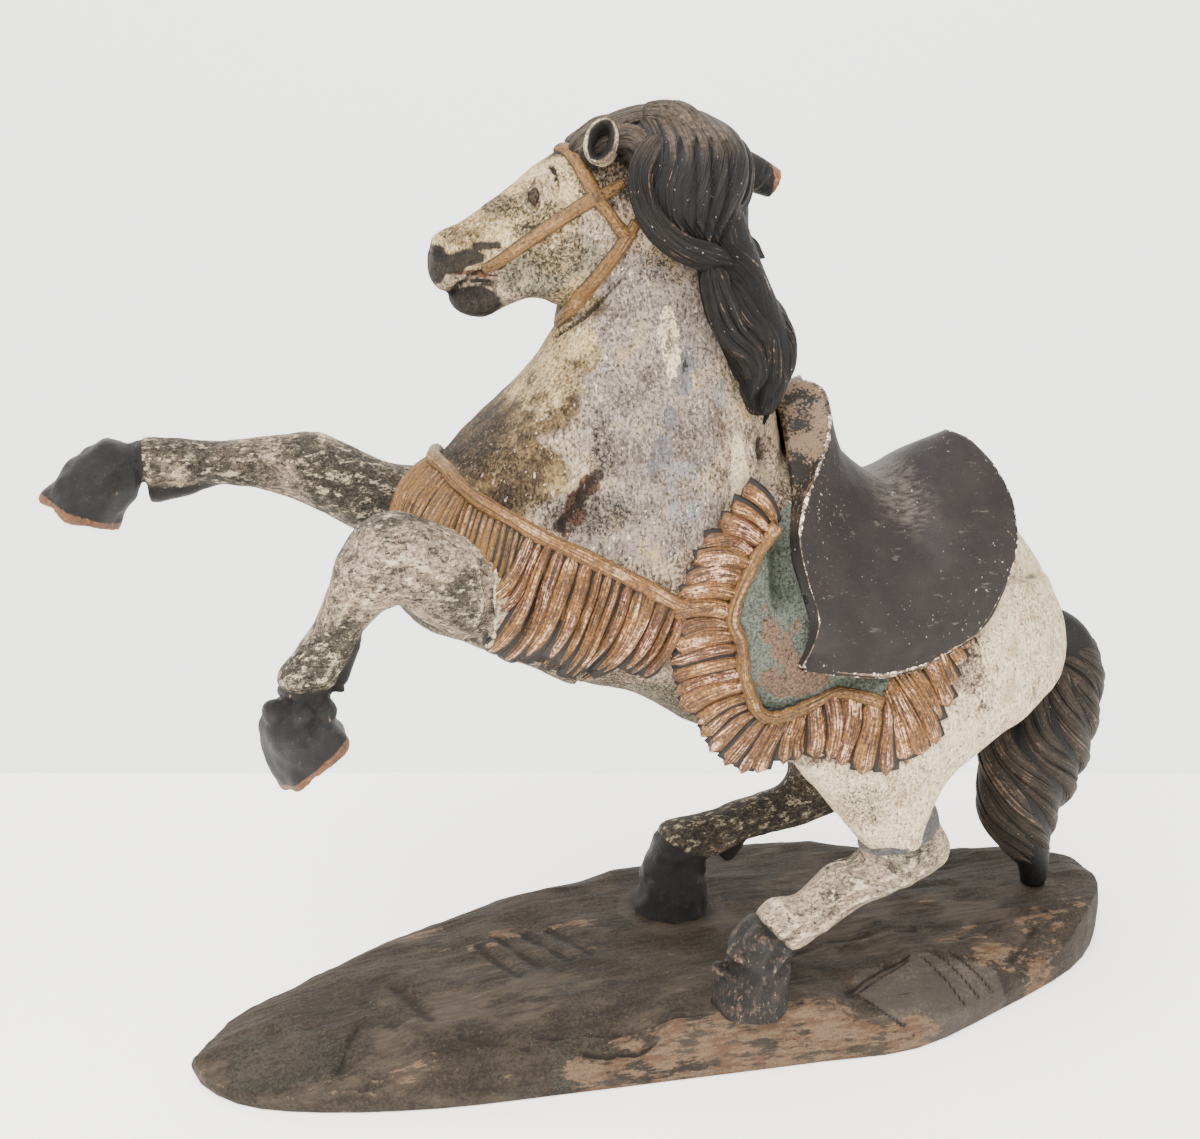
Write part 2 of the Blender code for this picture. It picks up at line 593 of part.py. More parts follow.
def add_mane(bm):
    """The mane: a ridge down the crest, with the locks that fall from it on both sides."""
    skin(bm, limb_rings(MANE_RIDGE, 14, 2))
    skin(bm, limb_rings(MANE_STUB, 8, 2))
    for rows in NEAR_LOCKS + FAR_LOCKS:
        add_lock(bm, rows)


def add_bridle(bm, tree):
    """The straps of the bridle on both cheeks."""
    for rows in STRAPS + [mirrored(rows) for rows in STRAPS]:
        run = laid(tree, rows, 0.0, 3)
        count = len(run)
        strand(bm, run, [STRAP_WIDTH / 2] * count, [STRAP_RISE] * count, 8)


def carve(mesh, cut, side):
    """Press a line into a mesh: a run of places, the cut's half breadth and its depth."""
    rows, half, depth = cut
    run = [spot(x, y if side == NEAR else -y, z) for x, y, z in flow(rows, 8)]
    half *= SQUARE
    depth *= SQUARE
    normals = [vertex.normal.copy() for vertex in mesh.vertices]
    for vertex, normal in zip(mesh.vertices, normals):
        if (vertex.co - run[0]).length > CUT_REACH * SQUARE:
            continue
        gap = min((vertex.co - place).length for place in run)
        if gap < half:
            vertex.co -= normal * depth * (1 - (gap / half) ** 2)


def stump_rows(rows, inward):
    """A limb's rows carried back into the body from its seam, a little slimmer than the limb."""
    first = rows[0]
    slim = (*first[:4], first[4] - STUMP_EASE, first[5] - STUMP_EASE)
    deeper = [(first[0] + inward[0] * step, first[1] + inward[1] * step, first[2] + inward[2] * step,
               first[3], first[4] + step, first[5] + step) for step in range(1, STUMP_ROWS)]
    ahead = rows[1]
    beyond = tuple(a + (b - a) * 0.15 for a, b in zip(slim, ahead))
    return [(*beyond[:4], slim[4], slim[5]), slim] + deeper


def rough_body():
    """The horse's own flesh, without hair, tack or the pieces that join it."""
    bm = bmesh.new()
    skin(bm, slab_rings(TRUNK, 32, 3))
    skin(bm, slab_rings(NECK, 28, 3))
    skin(bm, slab_rings(HEAD, 20, 3))
    skin(bm, slab_rings(LOWER_JAW, 16, 3))
    for side in (NEAR, FAR):
        rows = [(*row, side * offset) for row, offset in zip(THIGH, THIGH_OFFSETS)]
        skin(bm, slab_rings(rows, 24, 3))
    skin(bm, limb_rings(stump_rows(NEAR_FORELEG, (9, 2, -4)), 20, 2))
    skin(bm, limb_rings(stump_rows(FAR_FORELEG, (9, -2, -2)), 20, 2))
    skin(bm, limb_rings(EAR, 10, 2))
    mesh = melt("rough", bm, ROUGH_GRAIN, 6)
    for side in (NEAR, FAR):
        carve(mesh, WITHER_GROOVE, side)
    return mesh


def dense_body():
    """The whole carved body at a fine grain."""
    rough = rough_body()
    tree = search_tree(rough)
    bm = bmesh.new()
    bm.from_mesh(rough)
    add_saddle(bm)
    add_mane(bm)
    add_bridle(bm, tree)
    for side in (NEAR, FAR):
        add_cloth(bm, rough, side)
        add_cloth_fringe(bm, tree, side)
        add_collar_fringe(bm, tree, side)
        add_cords(bm, tree, side)
    mesh = melt("dense", bm, FINE_GRAIN, 1)
    for side in (NEAR, FAR):
        for cut in (MOUTH, NOSTRIL, EYE_RING, JAW_LINE):
            carve(mesh, cut, side)
    return mesh


def thinned(name, mesh, facets):
    """An object with a mesh thinned to about a number of triangles."""
    obj = bpy.data.objects.new(name, mesh)
    bpy.context.scene.collection.objects.link(obj)
    triangles = sum(len(face.vertices) - 2 for face in mesh.polygons)
    thin = obj.modifiers.new("thin", "DECIMATE")
    thin.ratio = facets / triangles
    thinner = surface_of(obj)
    obj.modifiers.clear()
    obj.data = thinner
    return obj


def cutter(name, rings):
    """A hidden form that others are cut with."""
    bm = bmesh.new()
    skin(bm, rings)
    obj = new_object(name, bm)
    obj.display_type = "WIRE"
    obj.hide_render = True
    return obj


def cut_away(obj, tool):
    """Cut one object with another."""
    cut = obj.modifiers.new("cut " + tool.name, "BOOLEAN")
    cut.operation = "DIFFERENCE"
    cut.object = tool


def paint(obj, name, colour, roughness):
    """Give an object its own painted wood."""
    material = bpy.data.materials.new(name)
    material.use_nodes = True
    shader = material.node_tree.nodes["Principled BSDF"]
    shader.inputs["Base Color"].default_value = (*colour, 1)
    shader.inputs["Roughness"].default_value = roughness
    shader.inputs["Metallic"].default_value = 0.0
    obj.data.materials.clear()
    obj.data.materials.append(material)


def grown_cutter(obj, gap):
    """A cutter with the form of a finished piece, grown by a gap on every side."""
    tool = bpy.data.objects.new(obj.name + " cut", obj.data.copy())
    bpy.context.scene.collection.objects.link(tool)
    normals = [vertex.normal.copy() for vertex in tool.data.vertices]
    for vertex, normal in zip(tool.data.vertices, normals):
        vertex.co += normal * gap
    tool.display_type = "WIRE"
    tool.hide_render = True
    return tool


def flat_foot(mesh):
    """Cut a mesh flat where it stands on the plinth."""
    bm = bmesh.new()
    bm.from_mesh(mesh)
    sole = Vector((0, 0, PAD_HEIGHT + SEAM))
    cut = bmesh.ops.bisect_plane(bm, geom=bm.verts[:] + bm.edges[:] + bm.faces[:], plane_co=sole,
                                 plane_no=(0, 0, -1), clear_outer=True)
    rim = [item for item in cut["geom_cut"] if isinstance(item, bmesh.types.BMEdge)]
    if rim:
        bmesh.ops.edgenet_fill(bm, edges=rim)
    bm.to_mesh(mesh)
    bm.free()


def drawn_down(rows):
    """A limb's rows with one more below the sole, so that the sole can be cut flat."""
    foot = rows[-1]
    return rows + [(foot[0], foot[1], foot[2] - FOOT_SPARE, *foot[3:])]


def build_limb(name, rows, spur, stands, colour):
    """One limb with its hoof and the fin behind the fetlock, as one closed form."""
    bm = bmesh.new()
    skin(bm, limb_rings(drawn_down(rows) if stands else rows, 20, 3))
    skin(bm, limb_rings(spur, 8, 2))
    obj = thinned(name, melt(name + " core", bm, FINE_GRAIN, 1), LIMB_FACETS)
    flat_foot(obj.data)
    paint(obj, name + " paint", colour, 0.75)
    return obj


def build_tail():
    """The tail: twisted strands about a swelling core, cut flat where it stands on the plinth."""
    bm = bmesh.new()
    skin(bm, limb_rings(drawn_down(TAIL), 16, 3))
    drawn = flow(drawn_down(TAIL)[2:], 4)
    last = len(drawn) - 1
    for number in range(TAIL_STRANDS):
        run = []
        for index, (x, y, z, lean, depth, half) in enumerate(drawn):
            turn = 2 * math.pi * (number / TAIL_STRANDS + TAIL_TWIST * index / last)
            angle = math.radians(lean)
            along = Vector((math.cos(angle), 0, math.sin(angle)))
            out = along * math.cos(turn) * (depth - 3) + Vector((0, 1, 0)) * math.sin(turn) * (half - 3)
            run.append((spot(x, y, z) + out * SQUARE, out.normalized()))
        taper = [0.4 + 0.6 * math.sin(math.pi * min(0.12 + index / last, 0.93)) for index in
                 range(last + 1)]
        strand(bm, run, [TAIL_STRAND_BREADTH / 2 * share for share in taper],
               [TAIL_STRAND_RISE / 2 * share for share in taper], 8)
    obj = thinned("tail", melt("tail core", bm, FINE_GRAIN, 1), TAIL_FACETS)
    flat_foot(obj.data)
    paint(obj, "black brown paint", (0.05, 0.04, 0.035), 0.6)
    return obj


def build_body(pieces):
    """The body, cut where the pieces that join it meet it."""
    obj = thinned("horse_body", dense_body(), BODY_FACETS)
    for piece in pieces:
        cut_away(obj, grown_cutter(piece, SEAM * 1.5))
    paint(obj, "cream and lilac paint", (0.55, 0.50, 0.44), 0.75)
    return obj


def plinth_outline():
    """The plinth's outline as closed points in metres."""
    rows = PLINTH_OUTLINE[-1:] + PLINTH_OUTLINE + PLINTH_OUTLINE[:2]
    run = flow(rows, 3)[3:-6]
    return [Vector(((x + PLINTH_SHIFT[0]) * BASE_LENGTH, (y + PLINTH_SHIFT[1]) * BASE_WIDTH))
            for x, y in run]


def edge_gap(outline, x, y):
    """How far a place lies from the plinth's outline."""
    place = Vector((x, y))
    gap = 1.0
    for first, second in zip(outline, outline[1:] + outline[:1]):
        along = second - first
        share = max(0.0, min(1.0, (place - first).dot(along) / along.length_squared))
        gap = min(gap, (place - first - along * share).length)
    return gap


def ground_height(outline, x, y):
    """Height of the plinth's carved top at a place."""
    share = x / BASE_LENGTH + 0.5 - PLINTH_SHIFT[0]
    rise = min(max(share / CLIMB_SHARE, 0.0), 1.0)
    crown = TIP_THICKNESS + (PAD_HEIGHT - TIP_THICKNESS) * math.sin(rise * math.pi / 2)
    if share > HEEL_SHARE:
        crown += (HEEL_THICKNESS - PAD_HEIGHT) * (share - HEEL_SHARE) / (1 - HEEL_SHARE)
    nearness = min(max(0.5 - (y / BASE_WIDTH - PLINTH_SHIFT[1]) * NEAR_TURN, 0.0), 1.0)
    if share > FADE_SHARE:
        nearness *= (1 - share) / (1 - FADE_SHARE)
    slope = EDGE_SLOPE + (NEAR_EDGE_SLOPE - EDGE_SLOPE) * nearness
    drop = crown * (EDGE_DROP + (NEAR_EDGE_DROP - EDGE_DROP) * nearness)
    gap = min(edge_gap(outline, x, y) / slope, 1.0)
    waves = FACETS_ALONG / BASE_LENGTH
    facets = noise.noise(Vector((x * waves, y * waves, 2.0))) * FACET_HEIGHT
    return crown - drop * (1 - gap) ** 2 + facets


def build_base():
    """The plinth: a carved top over a flat underside, trimmed to its outline, with seats."""
    outline = plinth_outline()
    margin = Vector((TRIM_MARGIN, TRIM_MARGIN))
    low = Vector((min(p.x for p in outline), min(p.y for p in outline))) - margin
    high = Vector((max(p.x for p in outline), max(p.y for p in outline))) + margin
    seats = [(spot(*NEAR_SHANK[-1][:3]), HOOF_SEAT_RADIUS), (spot(*FAR_SHANK[-1][:3]), HOOF_SEAT_RADIUS),
             (spot(*TAIL[-1][:3]), TAIL_SEAT_RADIUS)]
    bm = bmesh.new()
    bmesh.ops.create_grid(bm, x_segments=BASE_COLUMNS, y_segments=BASE_ROWS, size=0.5)
    top = bm.faces[:]
    for vertex in bm.verts:
        vertex.co.x = low.x + (vertex.co.x + 0.5) * (high.x - low.x)
        vertex.co.y = low.y + (vertex.co.y + 0.5) * (high.y - low.y)
        height = ground_height(outline, vertex.co.x, vertex.co.y)
        for seat, radius in seats:
            reach = (vertex.co.xy - seat.xy).length
            blend = min(max((radius + SEAT_SPREAD - reach) / (SEAT_SPREAD - SEAT_CORE), 0.0), 1.0)
            height += (PAD_HEIGHT + SEAT_DEPTH - height) * blend * blend * (3 - 2 * blend)
        vertex.co.z = height
    walls = bmesh.ops.extrude_face_region(bm, geom=top)
    for item in walls["geom"]:
        if isinstance(item, bmesh.types.BMVert):
            item.co.z = -PAD_HEIGHT
    obj = new_object("base", bm)
    bm = bmesh.new()
    ring = [bm.verts.new((point.x, point.y, 0.0)) for point in outline]
    lid = bmesh.ops.extrude_face_region(bm, geom=[bm.faces.new(ring)])
    for item in lid["geom"]:
        if isinstance(item, bmesh.types.BMVert):
            item.co.z = PAD_HEIGHT * 2
    trim = new_object("plinth trim", bm)
    trim.display_type = "WIRE"
    trim.hide_render = True
    keep = obj.modifiers.new("trim", "BOOLEAN")
    keep.operation = "INTERSECT"
    keep.object = trim
    for number, (seat, radius) in enumerate(seats):
        rings = [[Vector((seat.x + radius * SEAT_SHARE * math.cos(2 * math.pi * turn / SEAT_SIDES),
                          seat.y + radius * SEAT_SHARE * math.sin(2 * math.pi * turn / SEAT_SIDES),
                          height))
                  for turn in range(SEAT_SIDES)] for height in (PAD_HEIGHT, PAD_HEIGHT * 2)]
        cut_away(obj, cutter("seat cut %d" % number, rings))
    paint(obj, "dark brown paint", (0.13, 0.09, 0.065), 0.8)
    return obj


def main():
    for obj in list(bpy.data.objects):
        bpy.data.objects.remove(obj)
    build_base()
    pieces = [
        build_limb("left_foreleg", NEAR_FORELEG, NEAR_FORE_SPUR, False, (0.30, 0.26, 0.20)),
        build_limb("right_foreleg", FAR_FORELEG, FAR_FORE_SPUR, False, (0.30, 0.26, 0.20)),
        build_limb("left_hind_shank", NEAR_SHANK, NEAR_HIND_SPUR, True, (0.35, 0.31, 0.25)),
        build_limb("right_hind_shank", FAR_SHANK, FAR_HIND_SPUR, True, (0.25, 0.22, 0.18)),
        build_tail(),
    ]
    build_body(pieces)


main()
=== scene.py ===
"""The rearing folk art horse carving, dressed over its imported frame."""
import math
import random

import bmesh
import bpy
import numpy as np
from mathutils import Matrix, Vector, noise
from mathutils.bvhtree import BVHTree


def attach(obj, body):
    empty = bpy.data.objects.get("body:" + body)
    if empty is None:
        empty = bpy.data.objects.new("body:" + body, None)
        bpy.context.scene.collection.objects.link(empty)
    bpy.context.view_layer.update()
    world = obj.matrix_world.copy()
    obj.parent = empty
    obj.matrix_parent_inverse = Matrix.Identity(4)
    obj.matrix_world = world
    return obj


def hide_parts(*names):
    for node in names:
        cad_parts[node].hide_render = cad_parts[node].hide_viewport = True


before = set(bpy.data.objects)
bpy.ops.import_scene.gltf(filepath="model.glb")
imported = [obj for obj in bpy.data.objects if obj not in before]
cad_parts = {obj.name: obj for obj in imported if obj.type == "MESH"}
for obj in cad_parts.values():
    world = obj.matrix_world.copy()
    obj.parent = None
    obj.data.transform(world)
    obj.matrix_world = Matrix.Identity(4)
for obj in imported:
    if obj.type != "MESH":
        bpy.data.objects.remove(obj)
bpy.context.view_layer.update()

bl_info = {
    "name": "Rearing horse carving",
    "version": (1, 0, 0),
    "blender": (4, 5, 0),
    "location": "3D View > Sidebar > Horse",
    "description": "Dresses the packed frame of a painted, rearing horse carving",
    "category": "Add Mesh",
}

# How far the carver's grid stands above the frame's zero, and the plinth's pad on it, in millimetres.
SOLE_GAP = 0.3
PAD_TOP = 28
NEAR = -1
FAR = 1
EVEN = (1, 1, 1)
# How many places are drawn in each gap between given rows.
FORM_STEPS = 6
LIMB_STEPS = 4
LINE_STEPS = 8
SEAT_STEPS = 10
LOCK_STEPS = 12
FINE_STEPS = 24
FRINGE_STEPS = 16
COLLAR_STEPS = 18
WALL_STEPS = 8
# How many sides the swept strands have.
EYE_SIDES = 16
STRAP_SIDES = 20
CORD_SIDES = 16
BED_SIDES = 8
STRAND_SIDES = 18
LOCK_CORE_SIDES = 16
LOCK_SIDES = 14
EAR_SIDES = 32
# Mesh grain of the hair's solids and the half breadth of the widest strand, in metres.
MANE_GRAIN = 0.00125
TAIL_GRAIN = 0.0012
WIDEST_STRAND = 0.0042
# Waves of noise on the surfaces: pitch and height.
COAT_WAVES = ((55, 0.0009), (160, 0.00035))
SADDLE_WAVES = ((60, 0.0008), (190, 0.0003))
# Seeds of the fringes' uneven strands.
CLOTH_SEED = 43
COLLAR_SEED = 97


def colour(name, value, description):
    """A colour property."""
    return bpy.props.FloatVectorProperty(name=name, description=description, default=value,
                                         subtype="COLOR", size=3, min=0.0, max=1.0)


def quantity(name, value, description, **more):
    """A number property, with its limits and its unit."""
    return bpy.props.FloatProperty(name=name, description=description, default=value, **more)


def length(name, value, description):
    """A length property in metres."""
    return quantity(name, value, description, min=0.0, unit="LENGTH", subtype="DISTANCE", precision=5)


class HorseSizes(bpy.types.PropertyGroup):
    """Grain of the carved surfaces and the thickness of what is carved on them."""
    body_grain: length("Body grain", 0.00152, "Mesh grain of the body")
    limb_grain: length("Limb grain", 0.00112, "Mesh grain of the legs")
    base_grain: length("Plinth grain", 0.0012, "Mesh grain of the plinth")
    cord_width: length("Cord width", 0.0058, "Width of the cords on the cloth and across the breast")
    strap_width: length("Strap width", 0.0064, "Width of the bridle's straps")
    strap_rise: length("Strap rise", 0.0018, "How far the straps stand up")
    cloth_thickness: length("Cloth thickness", 0.0032, "Thickness of the saddle cloth")
    saddle_wall: length("Saddle wall", 0.0065, "Thickness of the saddle's shell")
    skirt_pitch: length("Skirt pitch", 0.0062, "Spacing of the skirt's strands")
    collar_pitch: length("Collar pitch", 0.0052, "Spacing of the deep strands under the breast cord")
    chest_pitch: length("Chest pitch", 0.0024, "Spacing of the shallow strands on the chest")


class HorsePaints(bpy.types.PropertyGroup):
    """Colours of the paint, the dirt, the bare wood, and the painted shade and highlights."""
    stone: colour("Stone", (0.66, 0.5, 0.345), "Pale paint of the coat and the legs")
    stone_dark: colour("Stone dark", (0.1, 0.065, 0.04), "Worn paint of the coat and the legs")
    cream: colour("Cream", (1, 0.82, 0.54), "Cream of the rump and the face")
    cream_dark: colour("Cream dark", (0.36, 0.24, 0.13), "Brush marks in the cream")
    lilac: colour("Lilac", (0.45, 0.36, 0.295), "Greyed lilac of the neck")
    lilac_dark: colour("Lilac dark", (0.12, 0.088, 0.068), "Dull strokes in the lilac")
    ochre: colour("Ochre", (0.185, 0.112, 0.04), "Yellow brown stain of the neck and chest")
    ochre_dark: colour("Ochre dark", (0.034, 0.019, 0.007), "Deep ochre stain")
    moss: colour("Moss", (0.4, 0.34, 0.225), "Greenish grey of the cheek and belly")
    moss_dark: colour("Moss dark", (0.036, 0.027, 0.017), "Dirt in the greenish grey")
    umber: colour("Umber", (0.011, 0.0075, 0.0055), "Dark speckle in the pits")
    # Umber is also laid as painted shade in hollows, grooves and between strands.
    chalk: colour("Chalk", (0.92, 0.8, 0.66), "White specks of bare ground")
    slate: colour("Slate", (0.13, 0.12, 0.125), "Blue grey of the flaked patches")
    slate_dark: colour("Slate dark", (0.05, 0.052, 0.062), "Deep blue grey of the hock band")
    slate_light: colour("Slate light", (0.27, 0.25, 0.24), "Pale grey of the flaked patches")
    straw: colour("Straw", (0.8, 0.6, 0.3), "Pale yellow flecks in the ochre")
    # Laid both as dirt and as the painted shade of the coat's undersides.
    soil_and_shade: colour("Soil", (0.055, 0.037, 0.022), "Dirt rubbed into the coat")
    bistre: colour("Bistre", (0.125, 0.094, 0.068), "Grey brown of the crown's worn hair")
    sky: colour("Sky", (0.3, 0.33, 0.32), "Pale blue patch on the shoulder")
    rust: colour("Rust", (0.17, 0.052, 0.022), "Red brown stains")
    gold: colour("Gold", (0.27, 0.118, 0.026), "Gold brown of the cords and the fringe")
    brass: colour("Brass", (0.185, 0.09, 0.017), "Yellow brown of the straps and the cords")
    gold_dark: colour("Gold dark", (0.07, 0.027, 0.0075), "Shade of the gold brown")
    copper: colour("Copper", (0.03, 0.01, 0.006), "Red brown of the fringe's recesses")
    # Gleam is laid on crests and knobs as wear and as painted highlight.
    gleam: colour("Gleam", (0.88, 0.54, 0.33), "Worn crests of the fringe")
    leather: colour("Leather", (0.0075, 0.0043, 0.0037), "Dark brown of the saddle")
    leather_light: colour("Leather light", (0.016, 0.0098, 0.008), "Lighter brown of the saddle")
    # Laid on scrapes as wear and over the seat as a painted sheen.
    leather_worn_and_sheen: colour("Leather worn", (0.12, 0.095, 0.078), "Rubbed seat of the saddle")
    tan: colour("Tan", (0.175, 0.112, 0.064), "Tan ground where the paint is gone")
    teal: colour("Teal", (0.15, 0.17, 0.135), "Grey teal of the saddle cloth")
    teal_dark: colour("Teal dark", (0.045, 0.045, 0.034), "Shade of the grey teal")
    rose: colour("Rose", (0.19, 0.115, 0.077), "Dusty pink patches")
    hair: colour("Hair", (0.0042, 0.0036, 0.0034), "Black of the mane and tail")
    # The painted highlight on the crests of the hair.
    hair_highlight: colour("Hair light", (0.016, 0.0122, 0.0098), "Brown crests of the mane and tail")
    hair_worn: colour("Hair worn", (0.19, 0.125, 0.092), "Rubbed crests of the mane and tail")
    # Horn also paints the painted shadow under the saddle's lip.
    horn: colour("Horn", (0.013, 0.011, 0.01), "Near black of the hooves")
    horn_worn: colour("Horn worn", (0.06, 0.046, 0.037), "Rubbed horn")
    earth: colour("Earth", (0.046, 0.034, 0.023), "Brown of the plinth")
    earth_dark: colour("Earth dark", (0.016, 0.011, 0.0072), "Dark brown of the plinth")
    earth_light: colour("Earth light", (0.085, 0.062, 0.042), "Dusty brown of the plinth")
    slate_warm: colour("Slate warm", (0.065, 0.053, 0.042), "Grey brown patch of the plinth")
    slate_pale: colour("Slate pale", (0.125, 0.1, 0.077), "Pale grey brown patch of the plinth")
    lichen: colour("Lichen", (0.04, 0.04, 0.027), "Greenish grey of the plinth's tip")
    timber: colour("Timber", (0.27, 0.115, 0.045), "Bare wood of a broken end")
    timber_dark: colour("Timber dark", (0.1, 0.052, 0.027), "Bare wood that has darkened")


def spot(x, y, z):
    """A place on the carver's millimetre grid, in metres."""
    return Vector((x, y, z + SOLE_GAP)) / 1000


def flow(rows, steps):
    """Rows of numbers drawn out into a smooth run, with `steps` to each gap."""
    last = len(rows) - 1
    run = []
    for index in range(last):
        before = rows[max(index - 1, 0)]
        here = rows[index]
        there = rows[index + 1]
        after = rows[min(index + 2, last)]
        for step in range(steps):
            t = step / steps
            run.append(tuple(
                0.5 * (2 * b + (c - a) * t + (2 * a - 5 * b + 4 * c - d) * t * t
                       + (3 * b - a - 3 * c + d) * t ** 3)
                for a, b, c, d in zip(before, here, there, after)))
    run.append(tuple(rows[last]))
    return run


TRUNK = [
    (-124, 246, -128, 226, 14, 0.0), (-119, 258, -126, 212, 32, 0.0), (-106, 269, -116, 201, 43, 0.0),
    (-84, 276, -92, 190, 49, 0.0), (-50, 281, -62, 176, 53, 0.05), (-12, 279, -32, 165, 54, 0.08),
    (24, 271, -4, 148, 51, 0.08), (54, 256, 22, 134, 50, 0.0), (84, 247, 50, 126, 50, 0.0),
    (110, 247, 84, 124, 49, 0.0), (132, 237, 114, 130, 47, 0.0), (150, 219, 138, 136, 42, 0.0),
    (163, 199, 156, 143, 32, 0.0), (171, 180, 167, 158, 14, 0.0),
]
NECK = [
    (-24, 394, -50, 346, 16, 0.0), (0, 384, -58, 321, 21, 0.0), (10, 366, -69, 302, 26, 0.05),
    (14, 342, -86, 285, 33, 0.1), (22, 314, -106, 269, 41, 0.1), (32, 286, -117, 249, 48, 0.08),
    (36, 258, -118, 228, 51, 0.0), (32, 232, -108, 206, 46, 0.0),
]
HEAD = [
    (-108, 352, -109, 341, 8, 0.0), (-106, 357, -104, 336, 11, 0.0), (-97, 361, -92, 337, 13, 0.0),
    (-86, 368, -80, 336, 15, -0.1), (-74, 376, -68, 334, 18, -0.1), (-63, 384, -60, 329, 21, 0.0),
    (-52, 390, -48, 330, 22, 0.0), (-38, 395, -36, 338, 21, 0.0), (-22, 393, -20, 350, 16, 0.0),
]
LOWER_JAW = [
    (-101, 335, -100, 329, 6, 0.0), (-97, 337, -94, 326, 9, 0.0), (-90, 340, -87, 325, 10, 0.0),
    (-82, 343, -79, 329, 10, 0.0), (-73, 346, -71, 332, 12, 0.0), (-64, 350, -64, 331, 15, 0.0),
]
# Thigh sections run from the hip down to the joint at the hock.
THIGH = [
    (80, 215, 153, 207, 22, 0.0), (52, 188, 160, 186, 27, 0.0), (30, 164, 157, 166, 29, 0.0),
    (28, 146, 143, 154, 27, 0.0), (38, 130, 124, 145, 23, 0.0), (50, 115, 106, 134, 18, 0.0),
    (62, 100, 94, 119, 16, 0.0), (71, 92, 93, 106, 15, 0.0),
]
THIGH_OFFSETS = [24, 30, 35, 39, 42, 44, 46, 46]
# The near foreleg, from its seam at the elbow to the toe.
NEAR_FORELEG = [
    (-96, -38, 222, -94, 21, 17), (-115, -39, 233, -97, 20, 17), (-131, -40, 242, -90, 18, 16),
    (-140, -40, 240, -74, 17, 15), (-147, -40, 232, -58, 13, 12), (-155, -40, 217, -32, 9, 9),
    (-162, -40, 206, -24, 10, 9), (-168, -40, 197, -12, 11, 10), (-168, -40, 190, -4, 8, 9),
    (-170, -40, 186, -8, 12, 11), (-171, -40, 179, -3, 16, 14), (-169, -40, 172, 10, 16, 15),
    (-166, -40, 163, 37, 16, 15),
]
# The far foreleg, stretched forward.
FAR_FORELEG = [
    (-110, 38, 240, -100, 17, 17), (-124, 38, 243, -101, 17, 16), (-143, 38, 253, -92, 17, 15),
    (-155, 38, 260, -99, 15, 13), (-172, 38, 263, -105, 11, 10), (-195, 38, 265, -90, 9, 9),
    (-210, 38, 266, -88, 10, 10), (-219, 38, 267, -82, 10, 10), (-223, 38, 267, -72, 8, 9),
    (-228, 38, 266, -63, 12, 12), (-234, 38, 261, -58, 14, 14), (-240, 38, 255, -44, 15, 15),
    (-246, 38, 247, -26, 16, 15),
]
# The way each foreleg's stump goes on inside the body, in millimetres a row, and its number of rows.
NEAR_INWARD = (9, 2, -4)
FAR_INWARD = (9, -2, -2)
STUMP_ROWS = 5
# A hind shank, from its joint at the hock to the sole.
NEAR_SHANK = [
    (78, -46, 109, 33, 18, 16), (80, -46, 101, 14, 19, 16), (83, -46, 92, -8, 20, 15),
    (74, -46, 85, -24, 15, 13), (58, -46, 80, -48, 12, 11), (41, -45, 69, -58, 10, 10),
    (30, -45, 65, -62, 13, 11), (23, -45, 60, -48, 12, 11), (19, -45, 56, -17, 13, 12),
    (17, -45, 47, -12, 14, 14), (15, -45, 39, -6, 15, 15), (14, -45, 33, 0, 16, 16),
    (14, -45, 28, 0, 16, 17),
]
FAR_SHANK = [
    (80, 46, 108, 31, 17, 15), (84, 46, 100, 11, 18, 15), (86, 46, 89, -10, 19, 14),
    (81, 46, 79, -30, 17, 13), (69, 46, 73, -50, 12, 11), (50, 46, 69, -62, 11, 10),
    (35, 45, 66, -70, 10, 10), (22, 45, 63, -72, 12, 11), (13, 45, 60, -44, 14, 12),
    (9, 45, 52, -18, 14, 13), (8, 45, 43, -8, 15, 15), (8, 45, 35, -2, 16, 16),
    (8, 45, 28, 0, 17, 17),
]
# The fin of tendon and horn behind each fetlock, as a limb's rows.
NEAR_FORE_SPUR = [(-148, -40, 216, -20, 3, 3), (-155, -40, 201, -20, 5, 4), (-156, -40, 192, -20, 3, 3)]
FAR_FORE_SPUR = [(-190, 38, 258, -90, 3, 3), (-206, 38, 255, -90, 4, 4), (-218, 38, 254, -90, 5, 4)]
NEAR_HIND_SPUR = [(44, -45, 62, -60, 3, 3), (36, -45, 55, -60, 4, 4), (31, -45, 50, -60, 3, 3)]
FAR_HIND_SPUR = [(46, 45, 62, -80, 4, 3), (39, 45, 56, -70, 6, 4), (33, 45, 50, -60, 4, 3)]
TAIL = [
    (158, 5, 172, 84, 8, 7), (174, 6, 170, 66, 9, 8), (187, 8, 161, 36, 11, 9),
    (192, 9, 148, 12, 14, 12), (188, 10, 130, 2, 20, 15), (180, 11, 111, 0, 26, 17),
    (178, 12, 92, 0, 24, 17), (175, 14, 73, 0, 20, 15), (179, 15, 55, 2, 14, 11),
    (186, 16, 40, 0, 8, 8), (188, 17, 28, 0, 6, 6),
]
TAIL_STRANDS = 7
TAIL_TWIST = 1.15
